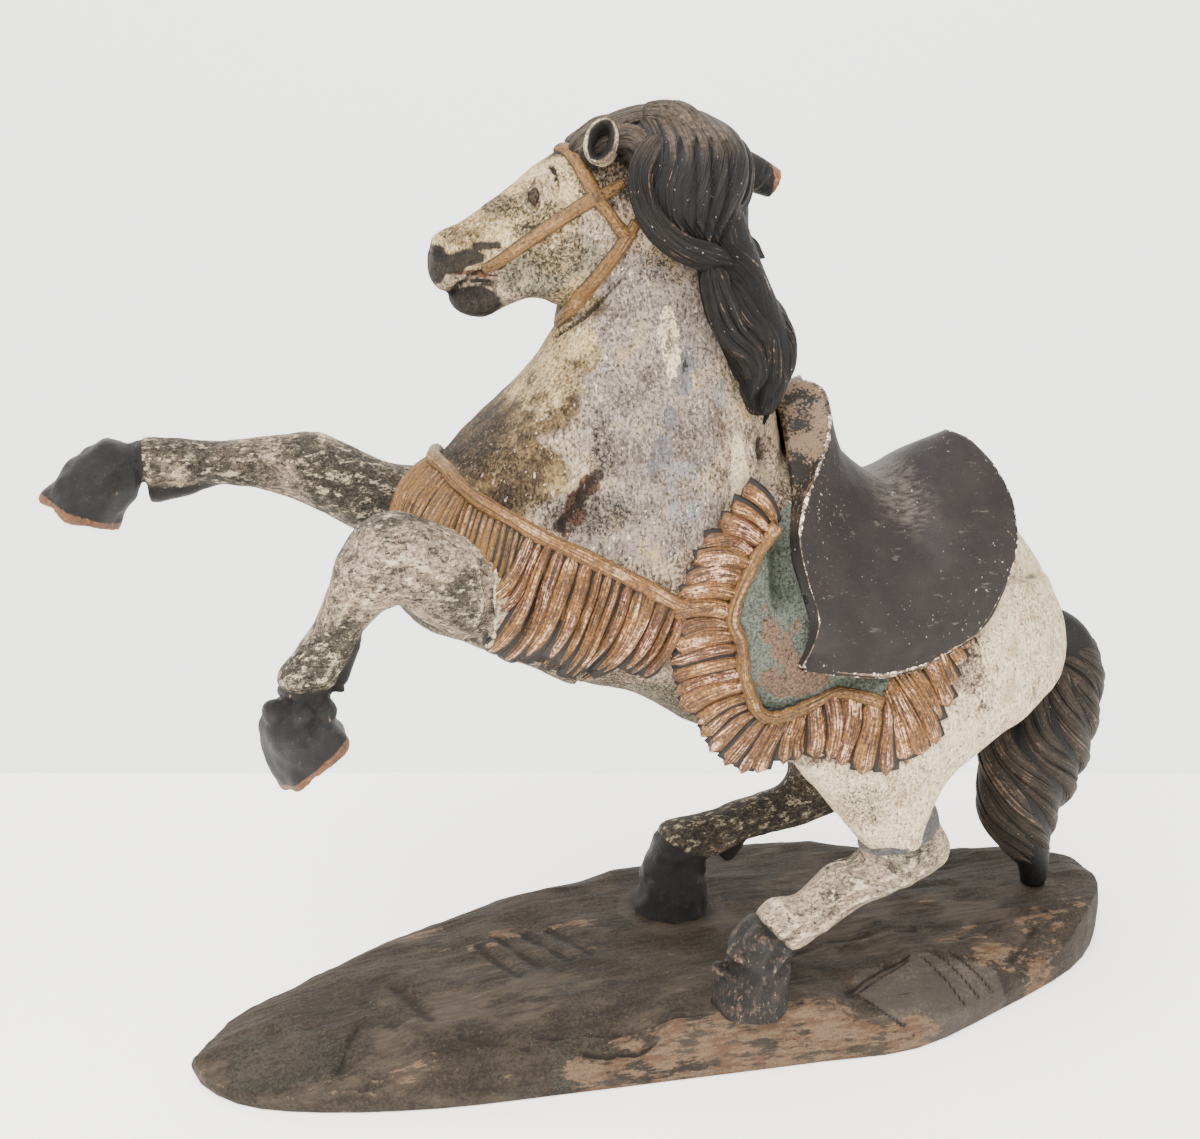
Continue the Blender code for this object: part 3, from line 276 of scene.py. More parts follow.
# The saddle: front lip, front rim, swell, seat, rise and rear rim, from the ridge down to the flap.
SADDLE_LIP = [
    (31, 0, 289), (32, -9, 285), (32, -17, 275), (31, -25, 264), (29, -35, 253), (26, -43, 244),
    (23, -50, 234), (25, -56, 222), (29, -58, 208), (28, -58, 198), (24, -59, 190),
]
SADDLE_FRONT = [
    (45, 0, 294), (51, -11, 291), (51, -21, 282), (46, -30, 272), (37, -40, 262), (29, -48, 252),
    (25, -55, 240), (27, -60, 225), (31, -63, 210), (29, -63, 199), (24, -63, 190),
]
SADDLE_SWELL = [
    (60, 0, 266), (61, -13, 264), (60, -24, 257), (57, -34, 248), (53, -43, 238), (50, -50, 228),
    (48, -56, 218), (46, -60, 208), (45, -62, 199), (44, -63, 192), (43, -64, 186),
]
SADDLE_SEAT = [
    (82, 0, 251), (82, -15, 249), (81, -27, 244), (80, -36, 237), (78, -44, 229), (76, -51, 220),
    (74, -56, 211), (72, -60, 202), (70, -62, 195), (67, -63, 189), (64, -64, 184),
]
SADDLE_RISE = [
    (99, 0, 260), (101, -16, 256), (102, -28, 249), (102, -37, 241), (101, -45, 232), (100, -51, 223),
    (98, -55, 214), (96, -58, 206), (93, -60, 199), (89, -61, 193), (84, -62, 187),
]
SADDLE_REAR = [
    (115, 0, 267), (122, -11, 263), (127, -22, 255), (130, -32, 245), (129, -40, 235), (126, -46, 225),
    (121, -51, 216), (116, -54, 209), (111, -57, 203), (107, -58, 199), (103, -59, 195),
]
SADDLE_CORE = (78, 0, 226)
# Places in a section of the saddle: its front rim, the middle of its seat and its rear rim.
FRONT_RIM = 6
SEAT_MIDDLE = 27
REAR_RIM = 46.5
CLOTH_EDGE = [
    (14, 244), (5, 229), (-3, 212), (1, 202), (4, 187), (9, 172), (16, 165), (32, 167), (48, 172),
    (62, 169), (70, 181), (86, 190), (104, 200), (112, 216), (96, 236), (60, 244), (30, 250),
]
# The skirt of the cloth: x, z on its cord and x, z at the end of the fringe.
CLOTH_SKIRT = [
    (17, 246, 2, 262), (5, 229, -19, 231), (-3, 212, -28, 215), (1, 202, -27, 199),
    (4, 187, -22, 180), (8, 175, -17, 165), (12, 167, -9, 152), (18, 164, 2, 142),
    (25, 165, 14, 139), (32, 167, 28, 141), (48, 172, 43, 146), (62, 169, 60, 138),
    (66, 179, 78, 146), (75, 186, 87, 161), (87, 191, 94, 177), (98, 197, 101, 190),
]
CLOTH_CORD_END = 12
SKIRT_REACH = 47
COLLAR_CORD = [
    (-114, 0, 280), (-113, -12, 278), (-109, -25, 275), (-104, -38, 269), (-93, -45, 260),
    (-81, -49, 251), (-70, -51, 245), (-54, -53, 236), (-40, -54, 228), (-27, -55, 220),
    (-20, -55, 217),
]
# Where the collar's strands end, from the breastbone round to the girth.
COLLAR_HEM = [
    (-131, 0, 236), (-129, -14, 232), (-125, -26, 226), (-118, -38, 214), (-108, -44, 208),
    (-97, -44, 200), (-82, -46, 192), (-66, -48, 186), (-52, -49, 182), (-42, -50, 181),
    (-32, -50, 180),
]
# Locks of the mane: x, y, z, half breadth and half thickness, from root to tip.
NEAR_LOCKS = [
    [(-55, -8, 387, 6, 4), (-40, -8, 395, 7, 5), (-24, -6, 399, 8, 5), (-6, -6, 397, 8, 5),
     (6, -8, 390, 7, 5)],
    [(-52, -18, 384, 5, 4), (-44, -19, 391, 5, 4), (-34, -21, 391, 6, 5), (-27, -27, 378, 6, 5)],
    [(-27, -12, 400, 5, 4), (-18, -16, 401, 6, 4), (-11, -22, 396, 6, 4), (-11, -28, 382, 5, 4)],
    [(-24, -24, 394, 5, 4), (-33, -29, 382, 5, 4), (-33, -31, 371, 5, 4), (-28, -33, 361, 6, 4),
     (-18, -34, 353, 6, 4), (-4, -34, 348, 6, 4), (6, -32, 345, 4, 3)],
    [(0, -14, 394, 6, 5), (9, -17, 384, 6, 5), (9, -19, 372, 6, 5), (4, -21, 364, 6, 5),
     (7, -22, 354, 6, 5), (15, -20, 349, 5, 4), (21, -18, 346, 3, 3)],
    [(0, -27, 357, 6, 5), (6, -27, 343, 7, 5), (15, -25, 331, 7, 5), (25, -23, 320, 7, 5),
     (28, -24, 309, 7, 5), (24, -27, 296, 6, 4), (18, -30, 282, 3, 3)],
    [(-7, -34, 347, 6, 4), (-4, -36, 334, 7, 4), (1, -36, 321, 7, 4), (9, -35, 312, 6, 4),
     (12, -35, 303, 6, 4), (9, -37, 293, 4, 3)],
    [(0, -33, 340, 6, 5), (8, -32, 326, 7, 5), (17, -30, 315, 7, 5), (19, -31, 302, 6, 5),
     (15, -34, 288, 4, 4)],
]
FAR_LOCKS = [
    [(-52, 8, 386, 6, 4), (-38, 11, 393, 7, 5), (-22, 14, 393, 7, 5), (-6, 17, 387, 6, 4)],
    [(-16, 17, 390, 7, 5), (-10, 24, 377, 7, 5), (-6, 27, 361, 7, 5), (2, 29, 344, 6, 4)],
    [(0, 14, 387, 7, 5), (8, 19, 372, 7, 5), (8, 22, 355, 7, 5), (13, 22, 338, 6, 4)],
    [(5, 26, 352, 7, 5), (11, 27, 334, 7, 5), (19, 24, 318, 7, 5), (22, 23, 302, 6, 4),
     (19, 26, 288, 3, 3)],
]
MANE_RIDGE = [
    (-36, 2, 385, 90, 10, 14), (-16, 2, 387, 80, 12, 17), (-2, 0, 381, 45, 14, 17),
    (4, -2, 369, 15, 14, 17), (6, -3, 354, 0, 13, 16), (11, -4, 336, 20, 13, 14),
    (17, -4, 318, 10, 13, 12), (21, -5, 300, -10, 11, 10), (23, -6, 286, -20, 6, 7),
]
MANE_STUB = [(6, 6, 378, 80, 8, 7), (20, 6, 378, 80, 8, 7), (34, 6, 372, 65, 6, 6)]
# The plinth's outline as shares of its length and width, from its tip round the near side.
PLINTH_OUTLINE = [
    (-0.500, -0.06), (-0.464, -0.23), (-0.390, -0.33), (-0.281, -0.40), (-0.167, -0.43),
    (-0.028, -0.46), (0.093, -0.485), (0.194, -0.50), (0.308, -0.39), (0.420, -0.25),
    (0.483, -0.09), (0.500, 0.04), (0.495, 0.16), (0.450, 0.23), (0.364, 0.30), (0.236, 0.43),
    (0.160, 0.50), (0.006, 0.455), (-0.165, 0.37), (-0.279, 0.275), (-0.388, 0.155),
    (-0.464, 0.07),
]
# The plinth's middle from the horse's middle, as shares of its length and width.
PLINTH_SHIFT = (0.0056, 0.128)
# Straps of the bridle on the near cheek: x, y, z and a share of the full width.
STRAPS = [
    [(-58, -1, 392, 1.1), (-56, -7, 390, 1.1), (-54, -14, 385, 1.0), (-51, -20, 378, 1.0),
     (-48, -22, 370, 1.1)],
    [(-46, -22, 373, 1.0), (-58, -21, 366, 0.95), (-69, -19, 359, 0.95), (-80, -16, 351, 0.9),
     (-89, -12, 344, 0.8)],
    [(-49, -22, 370, 0.8), (-43, -22, 374, 0.8), (-37, -22, 377, 0.6)],
    [(-49, -22, 371, 0.9), (-44, -22, 366, 0.85), (-40, -22, 360, 0.9), (-35, -22, 356, 1.0)],
    [(-32, -22, 361, 0.9), (-36, -21, 355, 1.1), (-43, -19, 346, 1.25), (-49, -16, 338, 1.3),
     (-55, -10, 329, 1.25), (-58, 0, 322, 1.2)],
]
# Lines pressed into both sides of the face: a run of x, y, z, half breadth and depth.
FACE_CUTS = [
    ([(-104, -2, 334), (-101, -5, 336), (-98, -8, 339), (-93, -10, 342), (-88, -12, 344)], 1.8, 3.4),
    ([(-103, -9, 342), (-99, -11, 343), (-93, -12, 345), (-88, -14, 346)], 1.2, 0.8),
    ([(-106, -7, 352), (-105, -8, 350)], 2.6, 2.6),
    ([(-69, -9, 375), (-70, -12, 372), (-71, -15, 369)], 4.2, 1.5),
    ([(-63, -8, 382), (-62, -12, 379), (-62, -16, 375)], 1.0, 1.3),
    ([(-60, -19, 370), (-66, -18, 367), (-75, -17, 361), (-84, -16, 355)], 1.3, 0.9),
    ([(-104, -6, 357), (-93, -5, 362), (-85, -5, 368), (-76, -5, 374)], 3.5, 0.8),
    ([(-72, -19, 345), (-62, -22, 340), (-52, -24, 344)], 6.0, 1.6),
    ([(-29, -23, 355), (-38, -22, 342), (-46, -19, 333), (-54, -12, 323), (-59, -4, 317)], 2.0, 2.0),
    ([(-92, -10, 333), (-84, -12, 337), (-76, -15, 340)], 3.0, 0.8),
]
MUSCLE_CUTS = [
    ([(27, -34, 272), (26, -45, 257), (24, -51, 238), (24, -53, 220)], 13.0, 12.0),
    ([(-72, -40, 296), (-64, -45, 280), (-57, -48, 262)], 9.0, 1.4),
    ([(-22, -30, 348), (-10, -36, 322), (0, -42, 300), (4, -44, 282)], 9.0, 1.6),
    ([(112, -50, 192), (104, -52, 168), (92, -54, 152)], 9.0, 1.6),
    ([(-101, -36, 286), (-96, -40, 276), (-92, -44, 266)], 8.0, 1.6),
    ([(-103, -46, 247), (-97, -52, 239), (-98, -55, 228), (-101, -53, 214)], 3.5, 1.8),
]
# Worn gouges and flake edges on the near side alone.
NEAR_CUTS = [
    ([(-69, -45, 252), (-63, -46, 261), (-55, -47, 270)], 5.0, 2.8),
    ([(10, -42, 290), (8, -45, 268), (5, -48, 248)], 2.2, 1.4),
    ([(-10, -40, 316), (-17, -43, 304), (-22, -45, 292)], 2.6, 0.9),
    ([(-24, -45, 290), (-28, -46, 278), (-33, -47, 268)], 3.4, 0.8),
    ([(-30, -46, 262), (-22, -47, 252), (-14, -47, 256)], 1.5, 0.7),
    ([(-100, -42, 262), (-92, -45, 258), (-86, -47, 252)], 4.0, 1.0),
]
# Colours of the coat: x, z, reach in x, reach in z and strength.
COAT_BLOBS = {
    "ochre": [
        (-74, 303, 15, 16, 0.9), (-91, 290, 15, 14, 1.1), (-106, 280, 12, 10, 1.0), (-82, 272, 14, 10, 0.9),
        (-60, 316, 10, 10, 0.7), (-98, 260, 14, 9, 0.8), (-84, 362, 22, 5, 0.8), (-60, 388, 8, 5, 0.8),
        (-66, 325, 12, 6, 0.7), (-88, 300, 5, 6, 1.2), (-70, 372, 10, 5, 0.5), (-52, 330, 8, 5, 0.5),
        (-97, 362, 6, 2.5, 0.7), (-86, 369, 6, 2.5, 0.7), (-76, 376, 6, 3, 0.6),
    ],
    "lilac": [
        (-35, 322, 28, 26, 1.0), (-30, 288, 28, 22, 1.0), (-37, 252, 32, 14, 0.9), (-10, 330, 16, 22, 0.8),
        (-60, 256, 16, 10, 0.7),
    ],
    "slate": [
        (-13, 311, 5, 6, 1.0), (-18, 303, 5, 6, 1.0), (-24, 289, 3.5, 7, 1.1), (-28, 278, 4, 7, 1.0),
        (-32, 270, 4, 6, 0.7), (-10, 282, 4, 12, 0.6), (-52, 262, 6, 6, 0.5), (-8, 262, 4, 12, 0.5),
    ],
    "sky": [(-22, 266, 8, 8, 1.0), (-20, 255, 8, 6, 1.0), (-4, 300, 5, 12, 0.5)],
    "rust": [
        (-64, 258, 4, 7, 1.1), (-58, 267, 4.5, 4, 1.0), (-68, 252, 3, 5, 1.0), (-96, 344, 9, 0.9, 1.0),
        (-90, 342.5, 7, 0.8, 1.0), (-106, 350, 2.4, 2.2, 1.2), (0, 256, 3, 5, 0.5),
    ],
    "cream": [
        (5, 262, 4, 16, 1.0), (2, 246, 6, 10, 0.9), (-86, 360, 22, 5, 1.0), (-68, 373, 9, 8, 1.0),
        (60, 118, 34, 28, 1.1), (90, 142, 28, 28, 1.1), (-22, 318, 5, 14, 0.6),
    ],
    "black": [
        (-109, 345, 4, 6, 1.1), (-103, 347.5, 6, 3.6, 1.0), (-96, 350, 6, 3.0, 1.0), (-89, 354, 5, 1.8, 0.8),
        (-93, 332, 10, 5.6, 1.1), (-101, 333, 5, 3.0, 0.9), (-92, 340.2, 8, 0.8, 0.9),
        (-86, 345.5, 4, 0.8, 0.8), (-30, 390, 20, 8, 0.45), (-62, 379, 0.7, 4, 0.7), (-74, 361, 9, 0.8, 0.5),
        (-106, 352.5, 2, 1.6, 0.9),
    ],
    "moss": [
        (-68, 343, 14, 9, 1.0), (-56, 350, 9, 9, 0.8), (-30, 172, 30, 9, 0.9), (-112, 214, 16, 12, 0.6),
        (-100, 268, 10, 12, 0.5),
    ],
    "dirt_and_shade": [
        (-76, 306, 8, 6, 0.8), (-96, 276, 14, 8, 1.0), (-72, 360, 8, 4, 0.8), (-98, 358, 8, 3, 0.7),
        (-92, 286, 9, 8, 1.0), (-84, 262, 12, 5, 0.8), (-52, 283, 5, 14, 0.7), (-60, 256, 16, 8, 0.8),
        (-116, 252, 14, 10, 0.9), (-104, 232, 8, 14, 0.8), (-120, 216, 14, 10, 0.9), (-70, 182, 40, 9, 0.8),
        (-76, 368, 16, 4, 0.8), (-40, 382, 16, 12, 1.0), (56, 124, 10, 12, 0.7), (-64, 350, 12, 10, 0.6),
        (-20, 345, 14, 8, 0.5), (-8, 290, 6, 22, 0.4), (-45, 376, 10, 10, 0.9), (-103, 290, 8, 6, 0.6),
    ],
    "straw": [
        (-98, 354, 14, 8, 0.9), (-76, 366, 20, 12, 0.9), (-64, 352, 10, 8, 0.4), (-88, 360, 26, 8, 0.9),
        (-66, 376, 16, 10, 0.8), (-94, 350, 12, 5, 0.6), (-62, 318, 12, 8, 0.6), (-74, 305, 16, 12, 0.6),
        (-56, 330, 8, 10, 0.4),
    ],
}
ROSE_BLOBS = [(14, 205, 5, 5, 0.7), (20, 185, 9, 13, 1.0), (32, 178, 10, 6, 0.8), (66, 186, 8, 4, 0.6)]
# The near ear: its middle, the way it faces, its long way and its rings of rise and halves.
EAR_PLACE = (-47, -23, 391)
EAR_OUT = (-0.30, -0.92, 0.28)
EAR_LONG = (0.28, -0.1, 0.95)
EAR_RINGS = [
    (-20, 6, 6), (-8, 7, 6), (-2, 7.8, 6), (2, 8.6, 6.3), (4.2, 8.6, 6.1), (5.2, 8.0, 5.4), (4.9, 7.0, 4.1),
    (3.0, 6.1, 3.2), (0.0, 5.2, 2.4), (-2.0, 3, 1.4),
]
EAR_BOWL = 6
# Parts of an eye: a run, its half breadth, its rise, whether it is dark, and its lift.
EYE_PARTS = [
    ([(-69.5, -10, 374.5), (-70.5, -12.5, 372), (-71, -15.5, 369)], 2.4, 1.3, "dark", 0.0),
    ([(-67.5, -7, 378), (-72, -10, 375), (-74, -13, 371.5), (-73.5, -16, 368), (-71, -18, 365.5)],
     0.8, 0.8, "pale", 0.1),
    ([(-67.5, -7, 378), (-67, -11, 375), (-67.5, -14.5, 371.5), (-69, -17.5, 367.5), (-71, -18, 365.5)],
     0.8, 0.8, "pale", 0.1),
    ([(-64.5, -8, 380), (-64, -12, 376.5), (-64.5, -15.5, 372), (-66, -17.5, 369)], 0.8, 0.6, "pale", 0.0),
]
# The x, z a limb's horn starts at and the way it faces, and the same for the soles.
SPUR_SIDES = {
    "foreleg_near": (-152, 207, 0.86, -0.51), "foreleg_far": (-205, 257, 0.0, -1.0),
    "shank_near": (34, 58, 0.5, -0.86), "shank_far": (35, 58, 0.3, -0.95),
}
HOCK_BAND = (80, 106, -0.3, 1.0)
LIMBS = [
    ("foreleg_near", "left_foreleg", NEAR_FORELEG, NEAR_FORE_SPUR, (-168, 195, -0.1, -1.0),
     (-166, 163, 0.6, -0.8), False, 0.65),
    ("foreleg_far", "right_foreleg", FAR_FORELEG, FAR_FORE_SPUR, (-221, 266, -1.0, 0.05),
     (-245.5, 246.5, -0.41, -0.91), False, 0.8),
    ("shank_near", "left_hind_shank", NEAR_SHANK, NEAR_HIND_SPUR, (25, 61, -0.73, -0.69), None, True, 0.35),
    ("shank_far", "right_hind_shank", FAR_SHANK, FAR_HIND_SPUR, (14, 60, -0.5, -0.86), None, True, 1.1),
]
# Carved knobs on the pasterns and hooves: x, y, z and radius.
KNOBS = {
    "foreleg_near": [(-180, -46, 187, 5), (-171, -49.5, 187, 5), (-162, -46.5, 187, 5),
                     (-176, -48.5, 181, 4)],
    "foreleg_far": [(-231, 44, 266, 4.5), (-237, 40, 260, 4), (-226, 38, 256, 4), (-243, 42, 256, 4)],
    "shank_near": [(6, -49, 54, 5), (14, -50, 63, 6), (23, -50, 59, 5), (6, -50, 44, 5), (19, -52, 43, 5),
                   (0, -46, 48, 4), (13, -53, 52, 4), (26, -47, 46, 5), (10, -48, 35, 6), (24, -48, 34, 5)],
    "shank_far": [(2, 40, 56, 5), (12, 37, 60, 5), (20, 40, 50, 4), (0, 39, 46, 4)],
}
BASE_LENGTH = 0.447
BASE_WIDTH = 0.158
PAD_HEIGHT = 0.028
TIP_THICKNESS = 0.012
HEEL_THICKNESS = 0.027
SEAT_SPREAD = 0.034
# Shares of the plinth's length where its top stops rising, starts to fall and rounds its end.
RISE_END = 0.42
FALL_START = 0.7
ROUND_START = 0.86
# Where the hooves and the tail stand: x, y in millimetres and radius in metres.
SEATS = [(14, -45, 0.0207), (8, 45, 0.0207), (188, 17, 0.0108)]
# Gouge cuts and cracks: a run of x, y, half breadth and depth in millimetres.
GOUGES = [
    ([(-89, 34), (-77, 6)], 3.5, 1.4), ([(-79, 39), (-66, 11)], 3.5, 1.4),
    ([(-66, 39), (-52, 11)], 3.5, 1.4), ([(-54, 40), (-42, 14)], 3.5, 1.3),
    ([(-132, 16), (-121, -12)], 4.0, 1.5), ([(-146, 12), (-136, -12)], 4.0, 1.2),
    ([(-186, 6), (-176, -20)], 5.0, 1.5), ([(-172, 4), (-160, -24)], 5.0, 1.5),
    ([(-60, -44), (-10, -54), (40, -60), (80, -62)], 1.3, 1.6),
    ([(-40, -54), (20, -62), (60, -66)], 1.0, 1.3), ([(-30, -44), (10, -50), (36, -52)], 1.2, 1.0),
    ([(66, -46), (74, -54), (88, -62)], 1.2, 1.6), ([(104, -30), (116, -50)], 1.0, 1.2),
    ([(112, -28), (125, -46)], 1.0, 1.2), ([(120, -27), (134, -43)], 1.0, 1.1),
    ([(60, -44), (84, -32), (100, -27)], 1.2, 1.2), ([(150, -30), (170, -16)], 2.0, 1.2),
    ([(130, -18), (150, -10), (180, -8)], 3.0, 1.0), ([(60, 40), (110, 30), (150, 26)], 4.0, 1.0),
    ([(40, -14), (70, -6), (110, -8)], 3.5, 1.0), ([(-110, -26), (-84, -38)], 3.0, 1.3),
    ([(-72, -38), (-50, -48)], 3.0, 1.4),
]
STEPS = [((60, -48), (100, -30), 2.2), ((-152, -4), (-166, -28), 1.6), ((-80, -36), (-44, -42), 1.6)]
TAN_PATCHES = [
    (-94, 38, 20, 5, 0.9), (-70, 42, 24, 4, 0.9), (-40, 38, 18, 5, 0.7), (-35, 20, 12, 5, 0.6),
    (-38, -48, 30, 5, 0.9), (0, -53, 40, 6, 1.0), (40, -57, 30, 5, 1.0), (88, -60, 14, 4, 1.0),
    (132, -16, 20, 6, 0.8), (150, -30, 24, 6, 1.0), (176, -14, 16, 8, 0.8), (196, 6, 8, 16, 0.7),
    (-116, 58, 20, 4, 0.7), (140, 12, 20, 5, 0.4), (-130, -34, 30, 4, 0.5),
]
GREY_PATCHES = [
    (82, -44, 16, 12, 1.0), (100, -42, 18, 14, 1.0), (122, -46, 20, 14, 1.0), (110, -56, 18, 10, 0.9),
]
GREEN_PATCHES = [(-186, -6, 20, 16, 1.0), (-168, -18, 12, 10, 1.0), (-62, -44, 14, 8, 0.9)]
# The mane's solid on the near side, as a limb's rows.
MANE_DOME = [
    (-14, -10, 402, 0, 10, 6), (-13, -18, 395, 0, 20, 10), (-12, -23, 385, 0, 23, 10),
    (-12, -25, 374, 0, 22, 10), (-13, -26, 363, 0, 18, 9), (-10, -26, 354, 0, 12, 8),
    (-4, -25, 346, 0, 8, 6),
]
MANE_FALL = [
    (0, -20, 366, 0, 10, 8), (2, -25, 352, 0, 12, 8), (5, -26, 340, 0, 14, 9), (10, -25, 326, 0, 16, 9),
    (16, -25, 311, 0, 15, 8), (18, -27, 297, 0, 11, 6), (17, -30, 286, 0, 5, 4),
]
# Grooves carved down the dome: runs of x, y, z.
DOME_GROOVES = [
    [(-24, -30, 392), (-27, -34, 380), (-25, -35, 368), (-19, -35, 358), (-12, -34, 351)],
    [(-18, -30, 394), (-20, -35, 380), (-19, -36, 368), (-16, -35, 358), (-11, -34, 350)],
    [(-12, -30, 395), (-13, -35, 380), (-13, -36, 368), (-13, -35, 358), (-10, -34, 350)],
    [(-6, -30, 393), (-6, -34, 380), (-7, -35, 368), (-9, -35, 358), (-8, -34, 350)],
    [(0, -28, 391), (1, -32, 380), (-1, -33, 368), (-5, -34, 358), (-6, -33, 350)],
    [(6, -24, 388), (7, -27, 380), (4, -29, 368), (-1, -31, 358), (-4, -32, 350)],
    [(-2, -31, 352), (3, -33, 340), (10, -33, 326), (17, -32, 312), (18, -32, 298)],
    [(-6, -31, 345), (-3, -33, 334), (2, -33, 322), (8, -33, 308), (11, -33, 296)],
]
# Height, middle in x and half width of the mane's combed pattern.
MANE_COMB = [
    (284, 17, 8), (300, 17, 14), (320, 12, 16), (340, 5, 14), (354, -8, 12), (364, -13, 17), (376, -13, 22),
    (388, -12, 22), (402, -14, 16),
]
# A number for each lock that seeds its strands and turns it, the near side's first.
LOCK_SEEDS = (0, 1, 2, 3, 6, 7, 8, 9, 10, 11, 12, 13)
# How much further along the breast cord the deep strands start than they end, in its rows.
COLLAR_SWEEP = 1.5
# The rows of the breast cord that the deep strands start from and the shallow ones end at.
DEEP_FROM = 4.1
SHALLOW_TO = 6.6
# The way a strand of the collar bows out on its way down.
COLLAR_SWING = (1.0, -0.6, -0.6)
# Lines pressed into a limb: a run of x, y, z, half breadth and depth.
LIMB_CUTS = {
    "shank_near": [
        ([(0, -48, 52), (6, -58, 50), (15, -63, 48), (24, -60, 48), (31, -52, 50)], 4.5, 3.2),
        ([(12, -62, 64), (15, -62, 56), (20, -62, 52)], 2.5, 1.6),
        ([(10, -64, 44), (12, -65, 36), (11, -66, 29)], 3.0, 1.6),
        ([(20, -64, 44), (24, -62, 36), (27, -60, 29)], 2.5, 1.2),
    ],
    "foreleg_near": [
        ([(-106, -47, 252), (-100, -50, 245), (-98, -54, 236), (-98, -55, 226), (-101, -53, 214),
          (-106, -46, 205)], 4.5, 2.6),
        ([(-133, -54, 243), (-139, -55, 231), (-144, -54, 221)], 4.0, 0.9),
        ([(-119, -55, 246), (-112, -57, 236), (-111, -57, 226)], 5.0, 0.9),
    ],
    "foreleg_far": [
        ([(-150, 20, 255), (-166, 20, 259), (-180, 20, 262)], 4.0, 1.2),
        ([(-134, 12, 262), (-120, 8, 250)], 4.0, 1.2),
    ],
}


def mirrored(rows):
    """Rows with their second number, y, put on the other side."""
    return [(row[0], -row[1], *row[2:]) for row in rows]


def skin(bm, rings):
    """A closed form over rings of points that all have the same count."""
    loops = [[bm.verts.new(point) for point in ring] for ring in rings]
    count = len(loops[0])
    for first, second in zip(loops, loops[1:]):
        for index in range(count):
            after = (index + 1) % count
            bm.faces.new((first[index], first[after], second[after], second[index]))
    bm.faces.new(loops[0][::-1])
    bm.faces.new(loops[-1])


def oval(centre, deep, wide, sides, pear=0.0):
    """Points of an oval section; pear above 0 makes it fuller at its lower end."""
    ring = []
    for number in range(sides):
        turn = 2 * math.pi * number / sides
        fullness = 1 - pear * math.cos(turn)
        ring.append(centre + deep * math.cos(turn) + wide * math.sin(turn) * fullness)
    return ring


def slab_rings(rows, sides, steps, shifts=None):
    """Sections given by upper x, z, lower x, z, half width and fullness, each shifted aside."""
    rows = [(*row, shift) for row, shift in zip(rows, shifts or [0.0] * len(rows))]
    rings = []
    for x_up, z_up, x_low, z_low, half, pear, aside in flow(rows, steps):
        top = spot(x_up, aside, z_up)
        low = spot(x_low, aside, z_low)
        rings.append(oval((top + low) / 2, (top - low) / 2, Vector((0, half / 1000, 0)), sides, pear))
    return rings


def heading(degrees):
    """The way that a lean in degrees points, in the plane of x and z."""
    return Vector((math.cos(math.radians(degrees)), 0, math.sin(math.radians(degrees))))


def limb_rings(rows, sides, steps):
    """Sections of a limb: x, y, z, lean of the section in degrees, half depth and half width."""
    rings = []
    for x, y, z, lean, depth, half in flow(rows, steps):
        rings.append(oval(spot(x, y, z), heading(lean) * depth / 1000, Vector((0, half / 1000, 0)), sides))
    return rings


def link(name, mesh):
    """A new object in the scene that shows a mesh."""
    obj = bpy.data.objects.new(name, mesh)
    bpy.context.scene.collection.objects.link(obj)
    return obj


def pick(obj):
    """Select one object alone and make it the active one."""
    bpy.ops.object.select_all(action="DESELECT")
    obj.select_set(True)
    bpy.context.view_layer.objects.active = obj


def from_forms(name, bm):
    """An object made of a finished bmesh."""
    mesh = bpy.data.meshes.new(name)
    bmesh.ops.recalc_face_normals(bm, faces=bm.faces)
    bm.to_mesh(mesh)
    bm.free()
    return link(name, mesh)


def from_faces(name, points, faces):
    """An object made of places and faces, all of which then look outward."""
    mesh = bpy.data.meshes.new(name)
    mesh.from_pydata(points, [], faces)
    bm = bmesh.new()
    bm.from_mesh(mesh)
    bpy.data.meshes.remove(mesh)
    return from_forms(name, bm)


def melt(obj, grain, ease):
    """Melt an object's overlapping forms into one skin and ease it smooth."""
    pick(obj)
    remesh = obj.modifiers.new("melt", "REMESH")
    remesh.mode = "VOXEL"
    remesh.voxel_size = grain
    bpy.ops.object.modifier_apply(modifier="melt")
    smooth = obj.modifiers.new("ease", "SMOOTH")
    smooth.factor = 0.5
    smooth.iterations = ease
    bpy.ops.object.modifier_apply(modifier="ease")
    return obj


def points_of(mesh):
    """The places of a mesh's vertices as an array."""
    points = np.empty(len(mesh.vertices) * 3)
    mesh.vertices.foreach_get("co", points)
    return points.reshape(-1, 3)


def normals_of(mesh):
    """The normals of a mesh's vertices as an array."""
    normals = np.empty(len(mesh.vertices) * 3)
    mesh.vertex_normals.foreach_get("vector", normals)
    return normals.reshape(-1, 3)


def put_points(mesh, points):
    """Move a mesh's vertices to the places in an array."""
    mesh.vertices.foreach_set("co", points.ravel())
    mesh.update()


def put_value(mesh, name, values):
    """Keep one number for each vertex of a mesh under a name."""
    layer = mesh.attributes.get(name) or mesh.attributes.new(name, "FLOAT", "POINT")
    layer.data.foreach_set("value", np.ascontiguousarray(values, dtype=np.float32))


def run_distance(points, run):
    """How far each point lies from a run of places, and how far along the run, from 0 to 1."""
    best = np.full(len(points), 9.0)
    where = np.zeros(len(points))
    gaps = len(run) - 1
    for index in range(gaps):
        start = np.array(run[index])
        along = np.array(run[index + 1]) - start
        reach = max(along @ along, 1e-12)
        part = np.clip((points - start) @ along / reach, 0, 1)
        gap = np.linalg.norm(points - start - part[:, None] * along, axis=1)
        nearer = gap < best
        best[nearer] = gap[nearer]
        where[nearer] = (index + part[nearer]) / gaps
    return best, where


